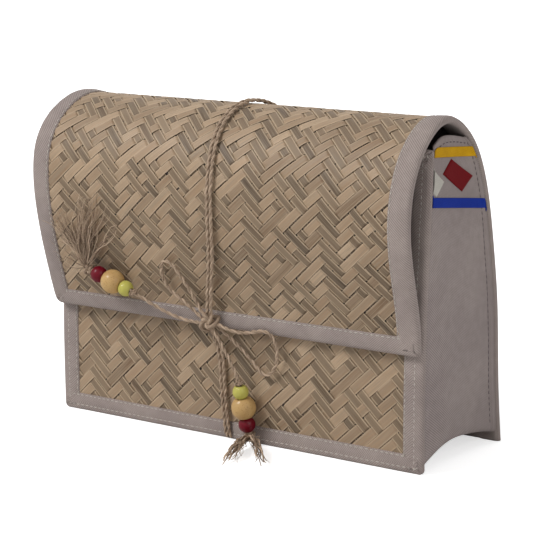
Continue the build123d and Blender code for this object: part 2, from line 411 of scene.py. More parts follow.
@dataclass(frozen=True)
class ClothFinish(Finish):
    """Cotton twill: two yarn tones along slanted ribs, slubs, and a soft sheen."""

    yarn: tuple = (0.3, 0.3, 0.3, 1.0)
    shade: tuple = (0.2, 0.2, 0.2, 1.0)
    slant: tuple = (0.7071, 0.7071, 0.0)
    period: float = 0.0009
    relief: float = 0.6
    mirrored: bool = False

    def build(self, effects: SharedEffects) -> bpy.types.Material:
        """The material, on the piece's own UV map in metres.

        Args:
            effects: the shared node groups.

        Returns:
            The material.
        """
        material, graph, shader = self.begin(
            0.9, Sheen_Weight=0.04, Sheen_Roughness=0.5, Specular_IOR_Level=0.12)
        cloth = graph.add("UVMap", {"uv_map": "run"}).outputs[0]
        if self.mirrored:
            parts = graph.add("SeparateXYZ", Vector=cloth)
            fold = graph.math("ABSOLUTE", parts.outputs[1])
            cloth = graph.add("CombineXYZ", X=parts.outputs[0], Y=fold, Z=0.0).outputs[0]
        twill = graph.group(effects.twill, Place=cloth, Slant=self.slant, Period=self.period)
        place = graph.add("TexCoord").outputs["Object"]
        patches = graph.group(effects.mottle, Place=place, Size=0.03)
        level = graph.math("ADD", graph.math("MULTIPLY", twill.outputs["Ribs"], 0.62),
                           graph.math("MULTIPLY", twill.outputs["Slubs"], 0.30))
        colour = graph.ramp(level, [(0.12, self.shade), (0.85, self.yarn)])
        faded, fresh = (0.88, 0.87, 0.88, 1.0), (1.04, 1.04, 1.03, 1.0)
        soft = graph.ramp(patches.outputs[0], [(0.3, faded), (0.7, fresh)])
        graph.feed(shader.inputs["Base Color"], graph.mix(1.0, colour, soft, "MULTIPLY"))
        bump = graph.add("Bump", Strength=self.relief, Distance=0.00016, Height=twill.outputs["Ribs"])
        graph.feed(shader.inputs["Normal"], bump.outputs[0])
        return material


@dataclass(frozen=True)
class JuteFinish(Finish):
    """Jute: pale and dark bast fibres that run along the ply."""

    pale: tuple = (0.5, 0.5, 0.5, 1.0)
    dark: tuple = (0.2, 0.2, 0.2, 1.0)

    def build(self, effects: SharedEffects) -> bpy.types.Material:
        """The material, from the ply's UV run and each fibre's tint.

        Args:
            effects: the shared node groups.

        Returns:
            The material.
        """
        material, graph, shader = self.begin(0.85, Specular_IOR_Level=0.15)
        run = graph.add("UVMap", {"uv_map": "run"})
        tint = graph.add("Attribute", {"attribute_name": "tint"})
        grain = graph.group(effects.grain, Place=run.outputs[0], Across=4200.0, Along=170.0)
        tone = graph.math("ADD", graph.math("MULTIPLY", grain.outputs["Lines"], 0.9),
                          graph.math("MULTIPLY", tint.outputs["Fac"], 0.6))
        tone = graph.math("SUBTRACT", tone, 0.25)
        graph.feed(shader.inputs["Base Color"], graph.ramp(tone, [(0.15, self.dark), (0.75, self.pale)]))
        bump = graph.add("Bump", Strength=0.7, Distance=0.00015, Height=grain.outputs["Lines"])
        graph.feed(shader.inputs["Normal"], bump.outputs[0])
        return material


@dataclass(frozen=True)
class BeadFinish(Finish):
    """Turned wood under paint or lacquer: faint grain, a few specks and a clear coat."""

    colour: tuple = (0.5, 0.5, 0.5, 1.0)
    deep: tuple = (0.3, 0.3, 0.3, 1.0)
    grain_share: float = 0.3
    speck_share: float = 0.0

    def build(self, effects: SharedEffects) -> bpy.types.Material:
        """The material, with the grain on Object coordinates.

        Args:
            effects: the shared node groups.

        Returns:
            The material.
        """
        material, graph, shader = self.begin(
            0.5, Specular_IOR_Level=0.12, Coat_Weight=0.22, Coat_Roughness=0.05)
        place = graph.add("TexCoord").outputs["Object"]
        grain = graph.group(effects.grain, Place=place, Across=900.0, Along=160.0)
        speck = graph.add("TexNoise", Vector=place, Scale=1700.0, Detail=1.0)
        marks = graph.map_range(speck.outputs[0], 0.62, 0.7)
        streaks = graph.math("MULTIPLY", grain.outputs["Streaks"], self.grain_share)
        body = graph.mix(streaks, self.colour, self.deep)
        dotted = graph.mix(graph.math("MULTIPLY", marks, self.speck_share), body, self.deep)
        graph.feed(shader.inputs["Base Color"], dotted)
        bump = graph.add("Bump", Strength=0.15, Distance=0.0001, Height=grain.outputs["Lines"])
        graph.feed(shader.inputs["Normal"], bump.outputs[0])
        return material


@dataclass(frozen=True)
class ThreadFinish(Finish):
    """Sewing thread: one tone with fine noise."""

    colour: tuple = (0.6, 0.6, 0.6, 1.0)

    def build(self, effects: SharedEffects) -> bpy.types.Material:
        """The material, with patches on Object coordinates.

        Args:
            effects: the shared node groups.

        Returns:
            The material.
        """
        material, graph, shader = self.begin(0.7, Specular_IOR_Level=0.3)
        place = graph.add("TexCoord").outputs["Object"]
        patches = graph.group(effects.mottle, Place=place, Size=0.0012)
        tone = graph.ramp(patches.outputs[0], [(0.3, (0.7, 0.7, 0.7, 1.0)), (0.7, (1.0, 1.0, 1.0, 1.0))])
        graph.feed(shader.inputs["Base Color"], graph.mix(1.0, self.colour, tone, "MULTIPLY"))
        return material


class Wardrobe:
    """Every finish of the bag, built once and handed out by name."""

    def __init__(self) -> None:
        """Builds the materials."""
        effects = SharedEffects()
        finishes = (
            BambooFinish("bamboo_rising", dark=linear(116, 92, 69), middle=linear(158, 131, 104),
                         light=linear(190, 164, 136), edge=linear(212, 190, 162),
                         edge_share=0.3, line_share=0.5),
            BambooFinish("bamboo_falling", dark=linear(68, 53, 40), middle=linear(112, 92, 72),
                         light=linear(152, 130, 106), edge=linear(200, 178, 150),
                         edge_share=0.65, line_share=0.42),
            ClothFinish("tape_cotton", yarn=linear(176, 163, 157), shade=linear(112, 101, 97)),
            ClothFinish("herringbone_cotton", yarn=linear(176, 163, 157), shade=linear(110, 99, 95),
                        mirrored=True),
            ClothFinish("gusset_cotton", yarn=linear(172, 160, 156), shade=linear(110, 99, 97)),
            # Painted shade: the lining is the same taupe cotton as the gusset, made darker because it shows
            # in shade inside the bag and behind the mat.
            ClothFinish("shaded_lining_cotton", yarn=linear(138, 128, 124), shade=linear(98, 89, 86), relief=0.3),
            ClothFinish("yellow_weave", yarn=linear(222, 172, 14), shade=linear(166, 116, 4), period=0.0007),
            ClothFinish("blue_weave", yarn=linear(20, 58, 172), shade=linear(4, 22, 96), period=0.0007),
            ClothFinish("red_weave", yarn=linear(128, 6, 16), shade=linear(76, 0, 6), period=0.0007),
            ClothFinish("white_weave", yarn=linear(214, 210, 200), shade=linear(160, 155, 144),
                        period=0.0007),
            JuteFinish("jute_fibre", pale=linear(204, 180, 156), dark=linear(74, 54, 42)),
            BeadFinish("yellow_bead", colour=linear(188, 182, 92), deep=linear(148, 140, 56)),
            BeadFinish("natural_bead", colour=linear(204, 170, 114), deep=linear(140, 98, 54),
                       grain_share=0.6, speck_share=0.6),
            BeadFinish("red_bead", colour=linear(108, 0, 24), deep=linear(58, 0, 10)),
            ThreadFinish("pale_thread", colour=linear(206, 198, 188)),
            ThreadFinish("dark_thread", colour=linear(86, 74, 76)),
        )
        self.materials = {finish.name: finish.build(effects) for finish in finishes}

    def __getitem__(self, name: str) -> bpy.types.Material:
        """The material of that name."""
        return self.materials[name]


# Mesh building


@dataclass
class Piece:
    """One finished mesh: its corners, faces and what its shader reads."""

    name: str
    corners: np.ndarray
    faces: np.ndarray
    run: Optional[np.ndarray] = None
    marks: dict[str, np.ndarray] = field(default_factory=dict)

    def make(self, material: bpy.types.Material, smooth: bool = True) -> bpy.types.Object:
        """Puts the arrays into a mesh object at the origin.

        Args:
            material: the piece's finish.
            smooth: whether the faces are shaded smooth.

        Returns:
            The new object, riding on the bag's body.
        """
        mesh = bpy.data.meshes.new(self.name)
        faces = self.faces.astype(np.int32)
        mesh.vertices.add(len(self.corners))
        mesh.vertices.foreach_set("co", (self.corners * MM).astype(np.float32).ravel())
        mesh.loops.add(faces.size)
        mesh.loops.foreach_set("vertex_index", faces.ravel())
        mesh.polygons.add(len(faces))
        mesh.polygons.foreach_set("loop_start", np.arange(0, faces.size, faces.shape[1], dtype=np.int32))
        mesh.update(calc_edges=True)
        if self.run is not None:
            layer = mesh.uv_layers.new(name="run")
            layer.data.foreach_set("uv", (self.run * MM).astype(np.float32).ravel())
        for label, values in self.marks.items():
            mark = mesh.attributes.new(label, "FLOAT", "POINT")
            mark.data.foreach_set("value", values.astype(np.float32).ravel())
        mesh.validate()
        if smooth:
            mesh.shade_smooth()
        else:
            mesh.shade_flat()
        mesh.materials.append(material)
        made = bpy.data.objects.new(self.name, mesh)
        bpy.context.scene.collection.objects.link(made)
        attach(made, BODY)
        LOG.info("%s: %d corners, %d faces", self.name, len(self.corners), len(faces))
        return made


def grid_faces(rows: int, columns: int, wrap_rows: bool = False, wrap_columns: bool = False) -> tuple[
    np.ndarray, np.ndarray
]:
    """Quads of a grid whose corners are numbered row by row.

    Args:
        rows, columns: how many corners each way.
        wrap_rows, wrap_columns: whether the last joins the first.

    Returns:
        The quads, and for each of their corners its unwrapped (row, column).
    """
    last_row = rows if wrap_rows else rows - 1
    last_column = columns if wrap_columns else columns - 1
    i, j = np.meshgrid(np.arange(last_row), np.arange(last_column), indexing="ij")
    i, j = i.ravel(), j.ravel()
    steps = np.stack([np.stack([i, j], 1), np.stack([i, j + 1], 1), np.stack([i + 1, j + 1], 1),
                      np.stack([i + 1, j], 1)], 1)
    faces = (steps[..., 0] % rows) * columns + steps[..., 1] % columns
    return faces, steps


def end_caps(sides: int, last: int) -> np.ndarray:
    """Quads that close both ends of a tube of rings with an even number of corners.

    Args:
        sides: corners of a ring.
        last: the number of the last ring's first corner.

    Returns:
        A fan at each end, wound as grid_faces winds the wall.
    """
    fan = np.array([(0, k, k + 1, k + 2) for k in range(1, sides - 1, 2)])
    return np.concatenate([fan[:, ::-1], fan + last])


def joined(name: str, parts: list[Piece]) -> Piece:
    """Several pieces as one, with their corners numbered on.

    Args:
        name: the whole piece's name.
        parts: the pieces, all with the same marks.

    Returns:
        The whole piece.
    """
    starts = np.cumsum([0] + [len(part.corners) for part in parts[:-1]])
    labels = parts[0].marks.keys()
    return Piece(
        name,
        np.concatenate([part.corners for part in parts]),
        np.concatenate([part.faces + start for part, start in zip(parts, starts)]),
        None if parts[0].run is None else np.concatenate([part.run for part in parts]),
        {label: np.concatenate([part.marks[label] for part in parts]) for label in labels},
    )


def unit(vectors: np.ndarray) -> np.ndarray:
    """Vectors made one long."""
    return vectors / np.maximum(np.linalg.norm(vectors, axis=-1, keepdims=True), 1e-9)


def ripple(a: np.ndarray, b: np.ndarray, length: float, seed: int) -> np.ndarray:
    """A smooth uneven wave of two values: the mean of seven sines with random ways and phases.

    Args:
        a, b: the two values, in millimetres.
        length: the middle wavelength, in millimetres.
        seed: picks the ways and phases.

    Returns:
        The wave, about -1 to 1.
    """
    chance = np.random.default_rng(seed)
    total = np.zeros(np.broadcast(a, b).shape)
    for _ in range(7):
        way = chance.uniform(0, 2 * np.pi)
        turns = 2 * np.pi / (length * chance.uniform(0.6, 1.7))
        total = total + np.sin(turns * (a * np.cos(way) + b * np.sin(way)) + chance.uniform(0, 2 * np.pi))
    return total / 3.2


def smooth_curve(points: np.ndarray, count: int) -> np.ndarray:
    """A natural cubic spline through points, measured along their chords.

    Args:
        points: the points, one a row.
        count: how many even steps of the chord length are read.

    Returns:
        The read points, one a row.
    """
    gaps = np.linalg.norm(np.diff(points, axis=0), axis=1)
    knots = np.concatenate([[0.0], np.cumsum(gaps)])
    size = len(points)
    system = np.eye(size)
    right = np.zeros_like(points)
    inner = np.arange(1, size - 1)
    system[inner, inner - 1] = gaps[:-1]
    system[inner, inner] = 2 * (gaps[:-1] + gaps[1:])
    system[inner, inner + 1] = gaps[1:]
    slopes = np.diff(points, axis=0) / gaps[:, None]
    right[inner] = 6 * np.diff(slopes, axis=0)
    bends = np.linalg.solve(system, right)
    where = np.linspace(0, knots[-1], count)
    span = np.clip(np.searchsorted(knots, where, side="right") - 1, 0, size - 2)
    gap = gaps[span][:, None]
    ahead = (knots[span + 1] - where)[:, None]
    behind = (where - knots[span])[:, None]
    return (
        bends[span] * ahead**3 / (6 * gap)
        + bends[span + 1] * behind**3 / (6 * gap)
        + (points[span] / gap - bends[span] * gap / 6) * ahead
        + (points[span + 1] / gap - bends[span + 1] * gap / 6) * behind
    )


def thicken(surface: bpy.types.Object, thickness: float) -> None:
    """Gives an open cloth surface its thickness, on its inner side.

    Args:
        surface: the cloth's outer face.
        thickness: in millimetres.
    """
    layer = surface.modifiers.new("cloth", "SOLIDIFY")
    layer.thickness = thickness * MM
    layer.offset = -1.0


def lengths_along(points: np.ndarray) -> np.ndarray:
    """The distance along a line of points, at each of them."""
    return np.concatenate([[0.0], np.cumsum(np.linalg.norm(np.diff(points, axis=0), axis=1))])


# The two bent sheets that carry everything else


@dataclass
class FrontSheet:
    """The front panel's outer face: a straight run along X of one (y, z) profile."""

    height: float = FRONT_HEIGHT

    def __post_init__(self) -> None:
        """Reads the profile from its foot to its top."""
        points = np.array([
            (FRONT_FACE + 0.3, -6.0),
            (FRONT_FACE - 0.3, 0.25 * self.height),
            (FRONT_FACE + 0.9, 0.56 * self.height),
            (FRONT_FACE + 3.6, 0.86 * self.height),
            (FRONT_FACE + 4.9, self.height + 6.0),
        ])
        self.line = smooth_curve(points, 200)

    def place(self, x: np.ndarray, up: np.ndarray, depth: np.ndarray) -> np.ndarray:
        """Points on the panel: the profile's y at height up, moved in along its normal by depth.

        Args:
            x: along the bag.
            up: height.
            depth: distance in from the outer face.

        Returns:
            The points, with a last axis of three.
        """
        x, up, depth = np.broadcast_arrays(x, up, depth)
        y = np.interp(up, self.line[:, 1], self.line[:, 0])
        slope = np.interp(up + 1, self.line[:, 1], self.line[:, 0]) - y
        size = np.sqrt(1 + slope**2)
        return np.stack([x, y + depth / size, up - depth * slope / size], -1)


@dataclass
class FlapSheet:
    """The back and flap's outer face, ruled between one profile at each end of the bag.

    The second coordinate is the distance up from the flap's hem, over the crown and down the
    back to its foot, as a share of each end's own length times the middle length.
    """

    hem: float = HEM_HEIGHT
    readings: int = 600
    slope_reach: float = 0.004

    def __post_init__(self) -> None:
        """Reads both profiles from the hem to the back's foot."""
        back = [
            (BACK_FACE - 43.4, 0.976 * CROWN_HEIGHT),
            (BACK_FACE - 30.4, 0.913 * CROWN_HEIGHT),
            (BACK_FACE - 22.6, 0.837 * CROWN_HEIGHT),
            (BACK_FACE - 11.6, 0.608 * CROWN_HEIGHT),
            (BACK_FACE - 6.7, 0.434 * CROWN_HEIGHT),
            (BACK_FACE - 3.8, 0.181 * CROWN_HEIGHT),
            (BACK_FACE + 0.6, -6.0),
        ]
        right = [
            (FRONT_FACE - 4.0, self.hem - 7.0),
            (FRONT_FACE - 4.9, self.hem + 12.0),
            (FRONT_FACE - 9.4, 0.533 * CROWN_HEIGHT),
            (FRONT_FACE - 14.9, 0.699 * CROWN_HEIGHT),
            (FRONT_FACE - 10.5, 0.852 * CROWN_HEIGHT),
            (FRONT_FACE + 3.4, 0.958 * CROWN_HEIGHT),
            (FRONT_FACE + 20.9, 0.996 * CROWN_HEIGHT),
        ]
        left = [
            (FRONT_FACE - 2.5, self.hem - 7.0),
            (FRONT_FACE - 11.3, 0.458 * CROWN_HEIGHT),
            (FRONT_FACE - 18.9, 0.633 * CROWN_HEIGHT),
            (FRONT_FACE - FLAP_STANDS_OUT + 0.1, 0.771 * CROWN_HEIGHT),
            (FRONT_FACE - 18.2, 0.870 * CROWN_HEIGHT),
            (FRONT_FACE - 3.0, 0.964 * CROWN_HEIGHT),
            (FRONT_FACE + 18.5, 0.997 * CROWN_HEIGHT),
        ]
        self.left, self.right = (self._trimmed(np.array(side + back)) for side in (left, right))
        self.length = (self.left[1] + self.right[1]) / 2

    def _trimmed(self, points: np.ndarray) -> tuple[np.ndarray, float]:
        """The part of a profile between the hem and the floor.

        Args:
            points: the profile's own points, which reach past both ends.

        Returns:
            The profile at even distances, and its length.
        """
        line = smooth_curve(points, 4 * self.readings)
        first = np.argmax(line[:, 1] > self.hem)
        last = len(line) - np.argmax(line[::-1, 1] > 0)
        line = line[first:last]
        along = lengths_along(line)
        even = np.linspace(0, along[-1], self.readings)
        read = np.stack([np.interp(even, along, line[:, 0]), np.interp(even, along, line[:, 1])], 1)
        return read, along[-1]

    def _at(self, profile: np.ndarray, share: np.ndarray) -> np.ndarray:
        """The (y, z) of one end's profile at a share of its length."""
        steps = np.linspace(0, 1, len(profile))
        return np.stack([np.interp(share, steps, profile[:, 0]), np.interp(share, steps, profile[:, 1])], -1)

    def place(self, x: np.ndarray, up: np.ndarray, depth: np.ndarray) -> np.ndarray:
        """Points on the sheet, moved in along its normal by depth.

        Args:
            x: along the bag.
            up: distance from the hem along the sheet.
            depth: distance in from the outer face.

        Returns:
            The points, with a last axis of three.
        """
        x, up, depth = np.broadcast_arrays(x, up, depth)
        side = ((x + REACH) / (2 * REACH))[..., None]
        share = up / self.length
        here, ahead, behind = (
            (1 - side) * self._at(self.left[0], s) + side * self._at(self.right[0], s)
            for s in (share, share + self.slope_reach, share - self.slope_reach)
        )
        along = unit(ahead - behind)
        y = here[..., 0] + along[..., 1] * depth
        z = here[..., 1] - along[..., 0] * depth
        over = np.maximum(share - 1, 0) * self.length
        under = np.minimum(share, 0) * self.length
        return np.stack([x, y, z - over + under], -1)

    def front_y(self, x: np.ndarray, z: np.ndarray) -> np.ndarray:
        """The y of the flap's outer face.

        Args:
            x: along the bag.
            z: a height between the hem and the crown.

        Returns:
            The y.
        """
        side = (x + REACH) / (2 * REACH)
        ends = []
        for profile, _ in (self.left, self.right):
            top = int(np.argmax(profile[:, 1]))
            ends.append(np.interp(z, profile[:top, 1], profile[:top, 0]))
        return (1 - side) * ends[0] + side * ends[1]

    def up_at(self, z: float) -> float:
        """The distance from the hem to a place on the flap, at mid-length.

        Args:
            z: the place's height.

        Returns:
            The distance along the sheet.
        """
        middle = (self.left[0] + self.right[0]) / 2
        top = int(np.argmax(middle[:, 1]))
        return float(np.interp(z, middle[:top, 1], np.linspace(0, 1, len(middle))[:top]) * self.length)


Sheet = Callable[[np.ndarray, np.ndarray, np.ndarray], np.ndarray]


# The woven mats


@dataclass(frozen=True)
class DiamondTwill:
    """The weave's rule: rising strips float over most falling ones, in diamonds with a half drop."""

    across: int = 12
    drop: int = 4
    tall: int = 8

    def falling_on_top(self, falling: np.ndarray, rising: np.ndarray) -> np.ndarray:
        """Whether the falling strip shows where two strips cross.

        Counted in half steps, a crossing lies falling + rising along and falling - rising up.
        The falling strip shows in the column between two diamonds, and in each diamond's middle
        as a small pattern of ones and twos.

        Args:
            falling, rising: the numbers of the two strips.

        Returns:
            True where the falling strip is on top.
        """
        along = falling + rising
        up = falling - rising
        column = np.floor((along + self.across // 2) / self.across).astype(int)
        a = along - self.across * column
        b = (up - self.drop * column + self.drop) % self.tall - self.drop
        a, b = np.abs(a), np.abs(b)
        centre = ((a == 0) & (b == 2)) | ((a == 1) & (b == 1)) | ((a == 2) & ((b == 0) | (b == 2)))
        return (a >= 5) | centre


@dataclass
class WovenMat:
    """A mat of split bamboo: every strip is a ribbon that dips under the strips that cross it."""

    name: str
    node: str
    sheet: Sheet
    half_step_along: float
    half_step_up: float
    origin: tuple[float, float]
    low: float
    high: float
    seed: int
    side_margin: float = 8.0
    lift: float = 0.37
    thickness: float = 0.34
    mean_depth: float = 0.42
    rising_width: float = 0.925
    falling_width: float = 0.84
    sway: float = 0.05
    stray: float = 0.022
    section: tuple = ((-1.0, -0.1), (-0.93, 0.42), (0.0, 0.56), (0.93, 0.42), (1.0, -0.1), (0.0, -0.5))
    steps: int = 5
    twill: DiamondTwill = DiamondTwill()

    def ribbons(self, run: Run) -> Piece:
        """All strips of one way, as closed ribbons.

        A strip's height at a place along it is a smooth step between its level at the crossing
        before and its level at the one after, so it dives just outside the strip that covers it.

        Args:
            run: which way the strips go.

        Returns:
            The strips as one piece, with a tint for each and a mark along its edges.
        """
        chance = np.random.default_rng(self.seed + (run is Run.FALLING))
        reach_along = REACH - self.side_margin
        span = int(2 * REACH / self.half_step_along + (self.high - self.low) / self.half_step_up) + 8
        numbers = np.arange(-span, span)
        places = np.arange(-span * self.steps, span * self.steps) / self.steps
        number, place = np.meshgrid(numbers, places, indexing="ij")
        rising = run is Run.RISING
        falling_number, rising_number = (place, number) if rising else (number, place)
        wander = self.sway * np.sin(place * 0.21 + chance.uniform(0, 6.28, (len(numbers), 1)))
        jitter = chance.normal(0, self.stray, (len(numbers), 1)) + wander
        if rising:
            rising_number = rising_number + jitter
        else:
            falling_number = falling_number + jitter
        x = self.origin[0] + self.half_step_along * (falling_number + rising_number)
        up = self.origin[1] + self.half_step_up * (falling_number - rising_number)
        inside = (np.abs(x) < reach_along) & (up > self.low) & (up < self.high)
        beside = np.pad(inside, ((0, 0), (1, 1)))
        inside &= beside[:, :-2] | beside[:, 2:]
        before = np.floor(place + 1e-6).astype(int)
        past = place - before
        levels = []
        for crossing in (before, before + 1):
            pair = (crossing, number) if rising else (number, crossing)
            top = self.twill.falling_on_top(*pair)
            levels.append(np.where(top != rising, 1.0, -1.0))
        turn = np.clip((past - 0.33) / 0.34, 0, 1)
        turn = turn * turn * (3 - 2 * turn)
        level = self.lift * ((1 - turn) * levels[0] + turn * levels[1])
        level = level + chance.normal(0, 0.02, (len(numbers), 1))
        return self._solid(run, x, up, level, inside, chance)

    def _solid(self, run: Run, x: np.ndarray, up: np.ndarray, level: np.ndarray, inside: np.ndarray,
               chance: np.random.Generator) -> Piece:
        """Gives the strips' middle lines their six-sided section and keeps what lies inside.

        Args:
            run: which way the strips go.
            x, up: the middle lines, a strip a row.
            level: how far above the mat's middle they lie.
            inside: which points the mat keeps.
            chance: picks the widths, tilts and tints.

        Returns:
            The strips as one piece.
        """
        rise = self.half_step_up if run is Run.RISING else -self.half_step_up
        direction = np.array([self.half_step_along, rise])
        pace = float(np.linalg.norm(direction))
        direction = direction / pace
        side = np.array([-direction[1], direction[0]])
        pitch = 2 * self.half_step_along * self.half_step_up / pace
        share = self.rising_width if run is Run.RISING else self.falling_width
        count = x.shape[0]
        half = pitch * share * chance.normal(1.0, 0.035, (count, 1)).clip(0.9, 1.06) / 2
        tilt = chance.normal(0, 0.035, (count, 1))
        offsets, heights = np.array(self.section).T
        points = []
        for offset, height in zip(offsets, heights):
            shift = half * offset
            depth = self.mean_depth - level - self.thickness * height - tilt * offset
            points.append(self.sheet(x + side[0] * shift, up + side[1] * shift, depth))
        corners = np.stack(points, 2)
        numbered = -np.ones(x.shape, dtype=np.int64)
        numbered[inside] = np.arange(int(inside.sum()))
        pairs = inside[:, :-1] & inside[:, 1:]
        first, second = numbered[:, :-1][pairs], numbered[:, 1:][pairs]
        sides = np.arange(6)
        around = np.stack([sides, (sides + 1) % 6], 1)
        quads = np.stack([
            first[:, None] * 6 + around[None, :, 0], first[:, None] * 6 + around[None, :, 1],
            second[:, None] * 6 + around[None, :, 1], second[:, None] * 6 + around[None, :, 0],
        ], -1).reshape(-1, 4)
        place = np.cumsum(np.full(x.shape, pace / self.steps), axis=1)
        strip = np.arange(count)[:, None] * np.ones(x.shape)
        along = place + strip * 37.0
        first_along, second_along = along[:, :-1][pairs], along[:, 1:][pairs]
        across = (strip[:, :-1][pairs])[:, None] * 11.0
        widths = (half * np.ones(x.shape))[:, :-1][pairs][:, None]
        low_side = across + widths * offsets[around[:, 0]]
        high_side = across + widths * offsets[around[:, 1]]
        size = low_side.shape
        run_map = np.stack([
            np.stack([np.broadcast_to(first_along[:, None], size), low_side], -1),
            np.stack([np.broadcast_to(first_along[:, None], size), high_side], -1),
            np.stack([np.broadcast_to(second_along[:, None], size), high_side], -1),
            np.stack([np.broadcast_to(second_along[:, None], size), low_side], -1),
        ], 2).reshape(-1, 2)
        starts = inside & ~np.pad(inside, ((0, 0), (1, 0)))[:, :-1]
        ends = inside & ~np.pad(inside, ((0, 0), (0, 1)))[:, 1:]
        start, end = numbered[starts][:, None] * 6, numbered[ends][:, None] * 6
        caps = np.concatenate([
            start + np.array([5, 2, 1, 0]), start + np.array([5, 4, 3, 2]),
            end + np.array([0, 1, 2, 5]), end + np.array([2, 3, 4, 5]),
        ])
        run_map = np.concatenate([run_map, np.zeros((4 * len(caps), 2))])
        tint = chance.beta(2.2, 2.2, (count, 1))
        tint = tint + 0.08 * np.sin(place * 0.03 + chance.uniform(0, 6.28, (count, 1)))
        tint = np.repeat((tint * np.ones(x.shape))[inside], 6)
        edge = np.tile((np.abs(offsets) > 0.5).astype(float), int(inside.sum()))
        faces = np.concatenate([quads, caps])[:, ::-1]
        run_map = run_map.reshape(-1, 4, 2)[:, ::-1].reshape(-1, 2)
        return Piece(f"{self.name}_{run.value}_strips", corners[inside].reshape(-1, 3), faces, run_map,
                     {"tint": tint, "edge": edge})

    def build(self, wardrobe: Wardrobe) -> list[bpy.types.Object]:
        """Both ways of strips, in place of the mat's plain solid.

        Args:
            wardrobe: the finishes.

        Returns:
            The rising and the falling strips.
        """
        made = []
        for run in Run:
            piece = self.ribbons(run).make(wardrobe["bamboo_" + run.value], smooth=False)
            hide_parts(self.node)
            made.append(piece)
        return made


# Cloth


